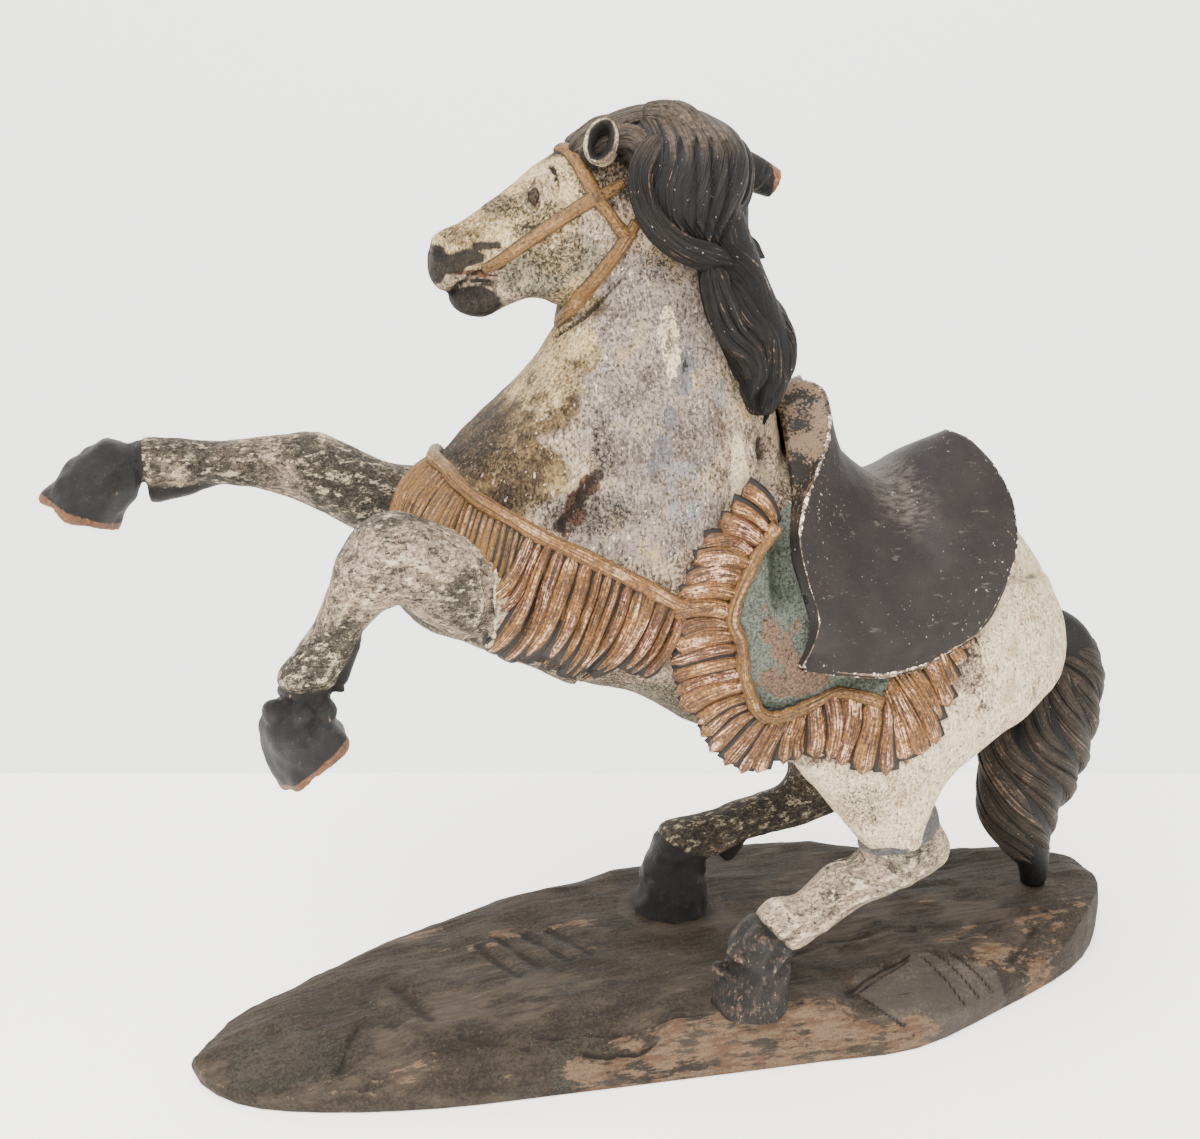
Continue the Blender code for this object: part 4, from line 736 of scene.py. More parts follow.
def press(points, normals, rows, half, depth):
    """Press a line into points along their normals, with half breadth and depth in millimetres."""
    run = [tuple(spot(*row[:3])) for row in flow(rows, FORM_STEPS)]
    gap, _ = run_distance(points, run)
    reach = np.clip(1 - (gap * 1000 / half) ** 2, 0, 1)
    points -= normals * (reach * depth / 1000)[:, None]


def eased(mesh, values, rounds):
    """Values at a mesh's vertices, averaged with their neighbours a number of times."""
    edges = np.empty(len(mesh.edges) * 2, dtype=np.int32)
    mesh.edges.foreach_get("vertices", edges)
    first = edges[0::2]
    second = edges[1::2]
    count = len(mesh.vertices)
    shared = np.bincount(first, minlength=count) + np.bincount(second, minlength=count)
    shared = np.maximum(shared, 1)
    values = values.reshape(count, -1)
    for _ in range(rounds):
        total = np.empty_like(values)
        for column in range(values.shape[1]):
            total[:, column] = (np.bincount(first, values[second, column], count)
                                + np.bincount(second, values[first, column], count))
        values = 0.5 * values + 0.5 * total / shared[:, None]
    return values


def mark_hollows(mesh, rounds, scale):
    """Keep how deep each vertex lies under the eased surface, as `hollow`; proud places are below 0."""
    points = points_of(mesh)
    lower = eased(mesh, points, rounds) - points
    depth = (lower * normals_of(mesh)).sum(1) / scale
    put_value(mesh, "hollow", np.clip(depth, -1, 1))


def ripple(place, waves):
    """Small waves of noise at a place, from rows of pitch and height."""
    return sum(noise.noise(Vector(place) * pitch) * height for pitch, height in waves)


def roughened(points, normals, waves):
    """Points moved in and out along their normals by waves of noise."""
    return points + normals * np.array([ripple(point, waves) for point in points])[:, None]


def blobs(points, rows, axis=2):
    """A soft weight at each point from x, z, reach in x, reach in z and strength, or y for z."""
    weight = np.zeros(len(points))
    for x, other, wide, tall, strength in rows:
        away = ((points[:, 0] * 1000 - x) / wide) ** 2 + ((points[:, axis] * 1000 - other) / tall) ** 2
        weight = np.maximum(weight, strength * np.clip(1.6 - away, 0, 1))
    return weight


def ramp(values, low, high):
    """Values stretched so that low gives 0 and high gives 1, eased at both ends."""
    part = np.clip((values - low) / (high - low), 0, 1)
    return part * part * (3 - 2 * part)


def tree_of(mesh):
    """A tree that finds places on a mesh."""
    corners = [tuple(point) for point in points_of(mesh)]
    return BVHTree.FromPolygons(corners, [tuple(face.vertices) for face in mesh.polygons])


def laid(tree, rows, lift, steps):
    """A run of places and normals that lies on a surface, raised by lift."""
    run = []
    for row in flow(rows, steps):
        place, normal, _, _ = tree.find_nearest(spot(*row[:3]))
        run.append((place + normal * lift, normal))
    return run


def calm(run, rounds):
    """A run of places and normals with its small wobbles evened out."""
    for _ in range(rounds):
        inner = [((a[0] + b[0] * 2 + c[0]) / 4, (a[1] + b[1] * 2 + c[1]).normalized())
                 for a, b, c in zip(run, run[1:], run[2:])]
        run = run[:1] + inner + run[-1:]
    return run


def evenly(rows, pitch):
    """Rows picked from a smooth run so that they stand a pitch apart along it."""
    fine = flow(rows, FINE_STEPS)
    picked = [fine[0]]
    travelled = 0.0
    for before, here in zip(fine, fine[1:]):
        travelled += (spot(*here[:3]) - spot(*before[:3])).length
        if travelled >= pitch:
            picked.append(here)
            travelled = 0.0
    return picked


def flank(tree, x, z, side):
    """The place and normal on the horse's flank at x, z, held out where a skirt hangs."""
    start = spot(x, side * 120, z)
    place, normal, _, _ = tree.ray_cast(start, Vector((0, -side, 0)))
    outward = Vector((0, side, 0))
    if place is None or abs(place.y) < SKIRT_REACH / 1000:
        return Vector((start.x, side * SKIRT_REACH / 1000, start.z)), outward
    return place, (normal + outward).normalized()


def strand_axes(run, index):
    """The ways across and up from one place of a run."""
    ahead = run[min(index + 1, len(run) - 1)][0] - run[max(index - 1, 0)][0]
    across = ahead.cross(run[index][1]).normalized()
    return across, across.cross(ahead).normalized()


class Strands:
    """Swept strands, gathered into one mesh with a few values at each vertex."""

    def __init__(self):
        self.points = []
        self.faces = []
        self.values = {"crest": [], "along": [], "tone": [], "comb": []}

    def add(self, run, breadths, depths, sides, ridges=0, rise=0.0, twist=0.0, tone=0.0, keen=0.0,
            shade=0.0):
        """One strand swept along places and normals; ridges groove it, keen sharpens its crest and shade
        lowers its crest value, which the paints show as painted shade.
        """
        base = len(self.points)
        last = len(run) - 1
        girth = (max(breadths) + max(depths)) * 1600
        for index, (place, _) in enumerate(run):
            across, up = strand_axes(run, index)
            for number in range(sides):
                turn = 2 * math.pi * number / sides
                wave = math.cos(ridges * turn + twist * index) if ridges else 0.0
                swell = 1 + rise * wave
                side = math.sin(turn) * abs(math.sin(turn)) ** keen
                self.points.append(place + up * (math.cos(turn) * depths[index] * swell)
                                   + across * (side * breadths[index] * swell))
                self.values["crest"].append(0.5 + 0.5 * math.cos(turn) * (1 - abs(rise) * 2)
                                            + wave * abs(rise) * 2 - shade)
                self.values["along"].append(index / last)
                self.values["tone"].append(tone)
                self.values["comb"].append(tone * 40 + abs(1 - turn / math.pi) * girth)
        for index in range(last):
            for number in range(sides):
                after = (number + 1) % sides
                row = base + index * sides
                self.faces.append((row + number, row + after, row + sides + after,
                                   row + sides + number))
        self.faces.append(tuple(range(base + sides - 1, base - 1, -1)))
        self.faces.append(tuple(range(base + last * sides, base + (last + 1) * sides)))

    def bundle(self, run, breadths, depths, count, number, twist):
        """A lock of thin strands wound about its middle, closing up at both ends."""
        chance = random.Random(number * 11 + 5)
        last = len(run) - 1
        core = [0.80 * min(1.0, 0.3 + 5 * n / last, 0.15 + 5 * (1 - n / last)) for n in range(last + 1)]
        # The core is given shade, so that it is painted darker where shade falls between the strands.
        self.add(run, [b * c for b, c in zip(breadths, core)], [d * c for d, c in zip(depths, core)],
                 LOCK_CORE_SIDES, tone=0.5, shade=0.4)
        for strand in range(count):
            start = 2 * math.pi * strand / count + chance.uniform(-0.15, 0.15)
            fat = chance.uniform(0.85, 1.2)
            end = chance.uniform(0.88, 1.0)
            line = []
            for index, (place, normal) in enumerate(run):
                across, up = strand_axes(run, index)
                t = index / last
                turn = start + twist * t + 0.25 * math.sin(t * 7 + number + strand)
                close = 0.62 * min(1.0, 0.45 + 5 * t, 0.25 + 3.5 * (1 - t))
                out = across * (math.cos(turn) * breadths[index] * close)
                out += up * (math.sin(turn) * depths[index] * close)
                line.append((place + out, (out.normalized() + normal * 0.3).normalized()))
            taper = [fat * min(1.0, 0.25 + 9 * n / last, 0.06 + 6 * max(end - n / last, 0))
                     for n in range(last + 1)]
            self.add(line, [b * 0.40 * c for b, c in zip(breadths, taper)],
                     [d * 0.46 * c for d, c in zip(depths, taper)], LOCK_SIDES, 5, 0.09,
                     chance.uniform(-0.05, 0.05), chance.random(), 0.25)

    def build(self, name):
        """The finished object with its values."""
        obj = from_faces(name, self.points, self.faces)
        for key, numbers in self.values.items():
            put_value(obj.data, key, np.array(numbers))
        return obj


class Wire:
    """A value in a material's node tree that can be used in an expression."""

    def __init__(self, sheet, socket):
        self.sheet = sheet
        self.socket = socket

    def __add__(self, other):
        return self.sheet.maths("ADD", self, other)

    def __sub__(self, other):
        return self.sheet.maths("SUBTRACT", self, other)

    def __mul__(self, other):
        return self.sheet.maths("MULTIPLY", self, other)

    def __truediv__(self, other):
        return self.sheet.maths("DIVIDE", self, other)

    __radd__ = __add__
    __rmul__ = __mul__

    def about(self, amount):
        """How far a pattern is above or below its middle, times an amount."""
        return (self - 0.5) * amount

    def step(self, low, high):
        """0 below low and 1 above high, eased between them."""
        return self.sheet.make("ShaderNodeMapRange", 0, {0: self, 1: low, 2: high, 3: 0.0, 4: 1.0},
                               interpolation_type="SMOOTHSTEP", clamp=True)


class Sheet:
    """The node tree of one painted material, with the colour laid on so far."""

    def __init__(self, name):
        self.colour = None
        self.material = bpy.data.materials.new(name)
        self.material.use_nodes = True
        self.tree = self.material.node_tree
        self.shader = self.tree.nodes["Principled BSDF"]
        coordinates = self.tree.nodes.new("ShaderNodeTexCoord")
        self.place = Wire(self, coordinates.outputs["Object"])

    def make(self, kind, output, inputs, **settings):
        """One node with its settings and inputs; gives the wire from its output."""
        node = self.tree.nodes.new(kind)
        for key, value in settings.items():
            setattr(node, key, value)
        for key, value in inputs.items():
            self.plug(node.inputs[key], value)
        return Wire(self, node.outputs[output])

    def plug(self, socket, value):
        """Give a socket a wire or a plain value."""
        if isinstance(value, Wire):
            self.tree.links.new(value.socket, socket)
        else:
            socket.default_value = value

    def maths(self, operation, first, second):
        """One step of arithmetic."""
        return self.make("ShaderNodeMath", 0, {0: first, 1: second}, operation=operation)

    def value(self, name):
        """The number kept on the mesh under a name."""
        return self.make("ShaderNodeAttribute", "Fac", {}, attribute_name=name)

    def stretched(self, stretch, shift):
        """The place on the object, stretched and shifted."""
        turned = self.make("ShaderNodeVectorMath", 0, {0: self.place, 1: stretch}, operation="MULTIPLY")
        return self.make("ShaderNodeVectorMath", 0, {0: turned, 1: (shift, shift * 1.7, -shift)},
                         operation="ADD")

    def mottle(self, size, detail=3.0, rough=0.55, stretch=EVEN, shift=0.0):
        """A cloudy pattern whose blots are about size metres across."""
        return self.make("ShaderNodeTexNoise", 0,
                         {"Vector": self.stretched(stretch, shift), "Scale": 1 / size, "Detail": detail,
                          "Roughness": rough})

    def combed(self, spacing, drift):
        """An uneven pattern of lines that run along each strand, a few millimetres or less apart."""
        lines = self.value("comb") / spacing
        across = self.make("ShaderNodeCombineXYZ", 0, {0: lines, 1: self.value("along") * drift,
                                                       2: self.value("tone") * 9.0})
        return self.make("ShaderNodeTexNoise", 0, {"Vector": across, "Scale": 1.0, "Detail": 2.0,
                                                   "Roughness": 0.6})

    def blend(self, amount, first, second):
        """Two colours mixed by an amount."""
        colours = [value if isinstance(value, Wire) else (*value[:3], 1.0) for value in (first, second)]
        return self.make("ShaderNodeMix", 2, {0: amount, 6: colours[0], 7: colours[1]}, data_type="RGBA")

    def between(self, value, low, high, first, second):
        """The first colour where a value is below low, the second where it is above high."""
        return self.blend(value.step(low, high), first, second)

    def lay(self, amount, paint):
        """Lay a paint over the colour so far, as thickly as an amount says."""
        self.colour = self.blend(amount, self.colour, paint)

    def finish(self, roughness, height, depth, sheen=0.0, shine=0.25):
        """Join the colour, the roughness and a height in shares of depth to the shader."""
        normal = self.make("ShaderNodeBump", "Normal", {"Height": height, "Distance": depth, "Strength": 1.0})
        for key, value in (("Base Color", self.colour), ("Roughness", roughness), ("Normal", normal),
                           ("Coat Weight", sheen), ("Coat Roughness", 0.35), ("Specular IOR Level", shine)):
            self.plug(self.shader.inputs[key], value)
        return self.material


def coat_form():
    """Trunk, neck, head and thighs melted into one smooth body."""
    bm = bmesh.new()
    skin(bm, slab_rings(TRUNK, 64, FORM_STEPS))
    skin(bm, slab_rings(NECK, 56, FORM_STEPS))
    skin(bm, slab_rings(HEAD, 40, FORM_STEPS))
    skin(bm, slab_rings(LOWER_JAW, 32, FORM_STEPS))
    for side in (NEAR, FAR):
        skin(bm, slab_rings(THIGH, 48, FORM_STEPS, [side * offset for offset in THIGH_OFFSETS]))
    for rows, inward in ((NEAR_FORELEG, NEAR_INWARD), (FAR_FORELEG, FAR_INWARD)):
        skin(bm, limb_rings(stump_rows(rows, inward), 32, LIMB_STEPS))
    return from_forms("coat", bm)


def stump_rows(rows, inward):
    """A limb's rows carried back into the body from its seam, a little slimmer than the limb."""
    first = rows[0]
    ahead = rows[1]
    slim = (*first[:4], first[4] - 1.5, first[5] - 1.5)
    beyond = tuple(a + (b - a) * 0.15 for a, b in zip(slim, ahead))
    deeper = [(first[0] + inward[0] * step, first[1] + inward[1] * step, first[2] + inward[2] * step,
               first[3], first[4] + step, first[5] + step) for step in range(1, STUMP_ROWS)]
    return [(*beyond[:4], slim[4], slim[5]), slim] + deeper


def carve_coat(obj):
    """Press the face, the muscles and the worn gouges into the body."""
    mesh = obj.data
    points = points_of(mesh)
    normals = normals_of(mesh)
    for rows, half, depth in FACE_CUTS + MUSCLE_CUTS:
        press(points, normals, rows, half, depth)
        press(points, normals, mirrored(rows), half, depth)
    for rows, half, depth in NEAR_CUTS:
        press(points, normals, rows, half, depth)
    put_points(mesh, roughened(points, normals, COAT_WAVES))


def mark_coat(obj):
    """Keep where each colour of the coat lies, with the painted shade of its undersides."""
    mesh = obj.data
    points = points_of(mesh)
    x = points[:, 0] * 1000
    z = points[:, 2] * 1000
    for name in ("ochre", "lilac", "slate", "sky", "rust", "black", "straw"):
        put_value(mesh, name, blobs(points, COAT_BLOBS[name]))
    put_value(mesh, "cream", np.maximum(ramp(x, 88, 120), blobs(points, COAT_BLOBS["cream"])))
    # Painted shade: surfaces that face down are darkened, joined to the dirt patches.
    under = ramp(-normals_of(mesh)[:, 2], 0.2, 0.8) * 0.6
    put_value(mesh, "dirt_and_shade", np.maximum(blobs(points, COAT_BLOBS["dirt_and_shade"]), under))
    belly = ramp(-z, -186, -168) * ramp(-x, -40, 0)
    put_value(mesh, "moss", np.maximum(blobs(points, COAT_BLOBS["moss"]), belly))
    mark_hollows(mesh, 14, 0.0007)


class BuildCoat(bpy.types.Operator):
    """Build the horse's own body with its face, its near ear and its eyes"""
    bl_idname = "horse.coat"
    bl_label = "Build Coat"

    def execute(self, context):
        paints = context.scene.horse_paints
        paint = coat_paint(paints)
        obj = melt(coat_form(), context.scene.horse_sizes.body_grain, 5)
        carve_coat(obj)
        mark_coat(obj)
        dress(obj, paint, "horse_body")
        build_ear(paint)
        build_eyes(paints, tree_of(obj.data), paint)
        return {"FINISHED"}


def ear_ring(place, out, long_way, row):
    """One ring of the ear: an oval that faces out, with its long half along long_way."""
    rise, half_long, half_short = row
    centre = place + out * rise / 1000
    wide_way = out.cross(long_way).normalized()
    turns = [2 * math.pi * n / EAR_SIDES for n in range(EAR_SIDES)]
    return [centre + long_way * (math.cos(turn) * (half_long / 1000))
            + wide_way * (math.sin(turn) * (half_short / 1000)) for turn in turns]


def build_ear(paint):
    """The near ear, a low oval cup with a hollow middle."""
    place = spot(*EAR_PLACE)
    out = Vector(EAR_OUT).normalized()
    long_way = Vector(EAR_LONG).normalized()
    long_way = (long_way - out * long_way.dot(out)).normalized()
    bm = bmesh.new()
    skin(bm, [ear_ring(place, out, long_way, row) for row in EAR_RINGS])
    ear = from_forms("ear_near", bm)
    points = points_of(ear.data)
    inner = np.zeros(len(points))
    inner[EAR_SIDES * EAR_BOWL:] = 1.0
    # The bowl is marked black and given a hollow value, so that the coat's paint lays near black and painted
    # shade in it.
    put_value(ear.data, "black", inner)
    put_value(ear.data, "hollow", inner - 0.3)
    put_value(ear.data, "moss", np.full(len(points), 0.5))
    put_value(ear.data, "cream", np.full(len(points), 0.45))
    dress(ear, paint)


def build_eyes(paints, tree, paint):
    """Both eyes: a dark almond between two carved lids."""
    dark = Strands()
    lids = Strands()
    for side in (NEAR, FAR):
        for rows, half, rise, store, lift in EYE_PARTS:
            turned = rows if side == NEAR else mirrored(rows)
            run = calm(laid(tree, turned, lift / 1000, FORM_STEPS), 4)
            count = len(run)
            taper = [math.sin(math.pi * (0.06 + 0.88 * n / (count - 1))) for n in range(count)]
            chosen = dark if store == "dark" else lids
            chosen.add(run, [half / 1000 * t for t in taper], [rise / 1000 * t for t in taper], EYE_SIDES)
    dress(dark.build("eyes"), eye_paint(paints))
    dress(lids.build("eye_lids"), paint)


class BuildTack(bpy.types.Operator):
    """Build the saddle, its cloth, the cords, the fringes and the bridle"""
    bl_idname = "horse.tack"
    bl_label = "Build Tack"

    def execute(self, context):
        sizes = context.scene.horse_sizes
        paints = context.scene.horse_paints
        coat = bpy.data.objects["coat"]
        tree = tree_of(coat.data)
        build_saddle(sizes, paints)
        build_cloth(sizes, paints, coat.data)
        build_bridle(sizes, paints, tree)
        build_cords(sizes, paints, tree)
        build_cloth_fringe(sizes, paints, tree)
        build_collar_fringe(sizes, paints, tree)
        return {"FINISHED"}


def dress(obj, paint, *nodes):
    """Give a piece its paint, shade it smooth and let it ride on the carving."""
    obj.data.materials.append(paint)
    pick(obj)
    bpy.ops.object.shade_smooth()
    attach(obj, "root")
    if nodes:
        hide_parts(*nodes)


def saddle_section(rows, number, wall):
    """One closed section of the saddle, from its lip over the seat and back under the wall."""
    lip, front, swell, seat, rise, rear = (spot(*row[number]) for row in rows)
    core = spot(SADDLE_CORE[0], seat.y * 1000 * 0.35, SADDLE_CORE[1])
    upper = [tuple(point) for point in (front, swell, seat, rise, rear)]
    ring = [Vector(point) for point in flow([tuple(lip), tuple(front)], FORM_STEPS)[:-1]]
    ring += [Vector(point) for point in flow(upper, SEAT_STEPS)]
    rim = ring[-1]
    wall *= 1 - 0.7 * (abs(seat.y) / 0.064) ** 3
    ring += [rim + (core - rim).normalized() * wall * part for part in (0.25, 0.6, 1.0)]
    outer = ring[-4:5:-3]
    return ring + [point + (core - point).normalized() * wall for point in outer] + [
        ring[0] + (core - ring[0]).normalized() * wall]


def build_saddle(sizes, paints):
    """The saddle, an arched shell with a flaring lip, a dished seat and a raised rear rim."""
    lines = [SADDLE_LIP, SADDLE_FRONT, SADDLE_SWELL, SADDLE_SEAT, SADDLE_RISE, SADDLE_REAR]
    lines = [flow(mirrored(rows[:0:-1]) + rows, FORM_STEPS) for rows in lines]
    rings = [saddle_section(lines, number, sizes.saddle_wall) for number in range(len(lines[0]))]
    bm = bmesh.new()
    skin(bm, rings)
    obj = from_forms("saddle", bm)
    mesh = obj.data
    count = len(rings[0])
    place_in_ring = np.tile(np.arange(count), len(rings))
    drop = np.abs(np.repeat(np.linspace(-1, 1, len(rings)), count))
    lip = (place_in_ring < FRONT_RIM) | (place_in_ring == count - 1)
    put_value(mesh, "lip", lip * ramp(-drop, -0.62, -0.40))
    put_value(mesh, "shadow", lip * ramp(drop, 0.40, 0.62))
    rim = np.maximum(np.exp(-((place_in_ring - FRONT_RIM) / 0.7) ** 2),
                     np.exp(-((place_in_ring - REAR_RIM) / 0.8) ** 2))
    put_value(mesh, "rim", np.maximum(rim, ramp(drop, 0.975, 0.995)))
    # Painted sheen: the middle of the seat is laid lighter grey.
    seat = np.exp(-((place_in_ring - SEAT_MIDDLE) / 8.0) ** 2) * ramp(-drop, -0.55, -0.15)
    put_value(mesh, "sheen", seat)
    put_points(mesh, roughened(points_of(mesh), normals_of(mesh), SADDLE_WAVES))
    mark_hollows(mesh, 10, 0.0008)
    dress(obj, saddle_paint(paints))


def within(outline, x, z):
    """For arrays of x and z, True where the place lies inside an outline of x, z rows."""
    hit = np.zeros(len(x), dtype=bool)
    for (x_a, z_a), (x_b, z_b) in zip(outline, outline[1:] + outline[:1]):
        if z_a == z_b:
            continue
        crossing = ((z_a > z) != (z_b > z)) & (x < (x_b - x_a) * (z - z_a) / (z_b - z_a) + x_a)
        hit ^= crossing
    return hit


def build_cloth(sizes, paints, coat):
    """The saddle cloth: a thick patch of the flanks within the cloth's outline."""
    points = points_of(coat)
    normals = normals_of(coat)
    inside = within(CLOTH_EDGE, points[:, 0] * 1000, points[:, 2] * 1000)
    inside &= np.abs(points[:, 1]) > 0.02
    inside &= normals[:, 1] * np.sign(points[:, 1]) > 0.05
    bm = bmesh.new()
    made = {}
    edges = set()

    def corner(index, level):
        if (index, level) not in made:
            place = Vector(points[index]) + Vector(normals[index]) * level * sizes.cloth_thickness
            made[index, level] = bm.verts.new(place)
        return made[index, level]

    for face in coat.polygons:
        corners = list(face.vertices)
        if all(inside[index] for index in corners):
            bm.faces.new([corner(index, 1) for index in corners])
            bm.faces.new([corner(index, -1) for index in reversed(corners)])
            edges.update(zip(corners, corners[1:] + corners[:1]))
    for first, second in edges:
        if (second, first) not in edges:
            bm.faces.new((corner(second, 1), corner(first, 1), corner(first, -1), corner(second, -1)))
    obj = from_forms("saddle_cloth", bm)
    put_value(obj.data, "rose", blobs(points_of(obj.data), ROSE_BLOBS))
    mark_hollows(obj.data, 8, 0.0008)
    dress(obj, cloth_paint(paints))


def build_bridle(sizes, paints, tree):
    """The straps of the bridle on both cheeks."""
    straps = Strands()
    for rows in STRAPS + [mirrored(rows) for rows in STRAPS]:
        run = calm(laid(tree, rows, 0.0, LINE_STEPS), 8)
        widths = [row[3] for row in flow(rows, LINE_STEPS)]
        straps.add(run, [sizes.strap_width / 2 * wide for wide in widths],
                   [sizes.strap_rise * min(wide, 1.1) for wide in widths], STRAP_SIDES, 2, 0.10)
    dress(straps.build("bridle"), gilt_paint("bridle_paint", paints, 0.15, 1.0))


def build_cords(sizes, paints, tree):
    """The round cords along the edge of the cloth and across the breast."""
    half = sizes.cord_width / 2
    cords = Strands()
    for side in (NEAR, FAR):
        edge = []
        for x, z in flow([row[:2] for row in CLOTH_SKIRT[:CLOTH_CORD_END]], LINE_STEPS):
            place, normal = flank(tree, x, z, side)
            edge.append((place + normal * sizes.cloth_thickness, normal))
        edge = calm(edge, 3)
        swell = [half * (1 + 0.08 * math.sin(n * 0.9) + 0.06 * math.sin(n * 2.3)) for n in range(len(edge))]
        cords.add(edge, swell, swell, CORD_SIDES, tone=0.3)
        breast = COLLAR_CORD if side == NEAR else mirrored(COLLAR_CORD)
        run = calm(laid(tree, breast, half * 0.5, LINE_STEPS), 10)
        swell = [half * (1.05 + 0.08 * math.sin(n * 0.5)) for n in range(len(run))]
        cords.add(run, swell, swell, CORD_SIDES, tone=0.6)
    dress(cords.build("cords"), gilt_paint("cord_paint", paints, 0.5, 0.85))


def gaps_between(runs, index):
    """Half the way from one strand of a fringe to its neighbours, at each of its places."""
    before = runs[max(index - 1, 0)]
    after = runs[min(index + 1, len(runs) - 1)]
    share = 4 if 0 < index < len(runs) - 1 else 2
    return [(a[0] - b[0]).length / share for a, b in zip(before, after)]


def sprout(store, runs, index, rise, chance, fullness, blunt):
    """One strand of a fringe, about as wide as the space to its neighbours, on a bed darkened as painted
    shade.
    """
    run = runs[index]
    last = len(run) - 1
    halves = [min(half, WIDEST_STRAND) for half in gaps_between(runs, index)]
    fat = chance.uniform(0.70, 1.35)
    deep = chance.uniform(0.6, 1.35)
    short = chance.uniform(0.0, 0.06)
    # The bed is given shade, so that it is painted dark where shade falls between the strands.
    store.add(run[:-1], [half * 1.35 for half in halves[:-1]], [rise * 0.3] * last, BED_SIDES, shade=0.6)
    breadths = []
    depths = []
    for number, half in enumerate(halves):
        t = number / last
        left = max(1 - short - t, 0.0)
        tip = min(1.0, (left * blunt) ** 0.5 + 0.05)
        root = min(1.0, 0.55 + t * 4)
        breadths.append(half * fullness * fat * tip * root)
        depths.append(rise * deep * tip * (0.45 + 0.6 * math.sin(math.pi * min(0.1 + 0.8 * t, 1))))
    store.add(run, breadths, depths, STRAND_SIDES, tone=chance.random(), keen=0.5)


def build_cloth_fringe(sizes, paints, tree):
    """The skirts of strands that hang from the cloth's cord, in scalloped bunches."""
    fringe = Strands()
    chance = random.Random(CLOTH_SEED)
    for side in (NEAR, FAR):
        rows = [((x + x_end) / 2, side * SKIRT_REACH, (z + z_end) / 2, x, z, x_end, z_end, number)
                for number, (x, z, x_end, z_end) in enumerate(CLOTH_SKIRT)]
        runs = []
        for number, (_, _, _, x, z, x_end, z_end, along) in enumerate(evenly(rows, sizes.skirt_pitch)):
            bunch = abs(math.sin(along * 1.05 + 0.4))
            reach = 0.93 + 0.11 * bunch + chance.uniform(-0.015, 0.015)
            slant = chance.uniform(-1.3, 1.3)
            run = []
            for step in range(FRINGE_STEPS + 1):
                t = step / FRINGE_STEPS
                bow = 3.2 * math.sin(math.pi * t) * (1 if along < CLOTH_CORD_END else 0.4)
                sway = 0.5 * math.sin(math.pi * 2 * t + number) + slant * t
                s = t * reach
                place, normal = flank(tree, x + (x_end - x) * s + sway, z + (z_end - z) * s + bow, side)
                lift = 0.0006 + 0.0022 * bunch * math.sin(math.pi * min(t + 0.1, 1)) + (number % 3) * 0.0004
                run.append((place + normal * lift, normal))
            runs.append(calm(run, 2))
        for index in range(len(runs)):
            sprout(fringe, runs, index, sizes.skirt_pitch * 0.45, chance, 1.08, 14.0)
    dress(fringe.build("cloth_fringe"), gilt_paint("skirt_paint", paints, 0.9, 0.3))


def build_collar_fringe(sizes, paints, tree):
    """Shallow strands over the chest and deep curving ones behind the foreleg."""
    deep = Strands()
    fine = Strands()
    chance = random.Random(COLLAR_SEED)
    for side in (NEAR, FAR):
        rows = [(*((a + b) / 2 for a, b in zip(top, hem)), *top, *hem, number)
                for number, (top, hem) in enumerate(zip(COLLAR_CORD, COLLAR_HEM))]
        sparse = [row for row in evenly(rows, sizes.collar_pitch) if row[9] >= DEEP_FROM]
        close = [row for row in evenly(rows, sizes.chest_pitch) if row[9] < SHALLOW_TO]
        cord = flow(COLLAR_CORD, FINE_STEPS)
        ends = len(COLLAR_CORD) - 1
        for store, picked, rise, bow, fullness, stray in (
                (deep, sparse, sizes.collar_pitch * 0.66, 1.5, 0.92, 2.2),
                (fine, close, sizes.chest_pitch * 0.6, 1.0, 0.85, 0.6)):
            runs = []
            for row in picked:
                swept = row[9] + COLLAR_SWEEP * (ends - row[9]) / ends if store is deep else row[9]
                top = Vector(cord[min(round(swept * FINE_STEPS), len(cord) - 1)][:3])
                hem = Vector(row[6:9])
                slant = chance.uniform(-stray, stray)
                swing = bow * chance.uniform(0.7, 1.3)
                reach = chance.uniform(0.86, 1.06)
                run = []
                for step in range(COLLAR_STEPS + 1):
                    t = step / COLLAR_STEPS
                    guide = top.lerp(hem, t * reach)
                    guide += Vector(COLLAR_SWING) * swing * math.sin(math.pi * t)
                    guide.x += slant * t
                    place, normal, _, _ = tree.find_nearest(spot(guide.x, -guide.y * side, guide.z))
                    run.append((place + normal * rise * chance.uniform(0.28, 0.34), normal))
                runs.append(calm(run, 6))
            for index in range(len(runs)):
                sprout(store, runs, index, rise, chance, fullness, 2.2)
    dress(deep.build("collar_fringe"), gilt_paint("collar_paint", paints, 1.0, 0.2))
    dress(fine.build("chest_fringe"), gilt_paint("chest_paint", paints, 0.35, 1.1))


class BuildHair(bpy.types.Operator):
    """Build the mane with its locks and its broken end, and the twisted tail"""
    bl_idname = "horse.hair"
    bl_label = "Build Hair"

    def execute(self, context):
        paint = hair_paint(context.scene.horse_paints)
        build_mane(paint)
        build_tail(paint)
        return {"FINISHED"}


def lock_run(rows):
    """The places and outward directions along one lock of the mane."""
    middle = spot(-2, 0, 350)
    run = []
    drawn = flow(rows, LOCK_STEPS)
    for x, y, z, _, _ in drawn:
        place = spot(x, y, z)
        away = Vector((place.x - middle.x, place.y * 2.0, 0.0)) if abs(y) > 16 else place - middle
        run.append((place, away.normalized()))
    return run, drawn


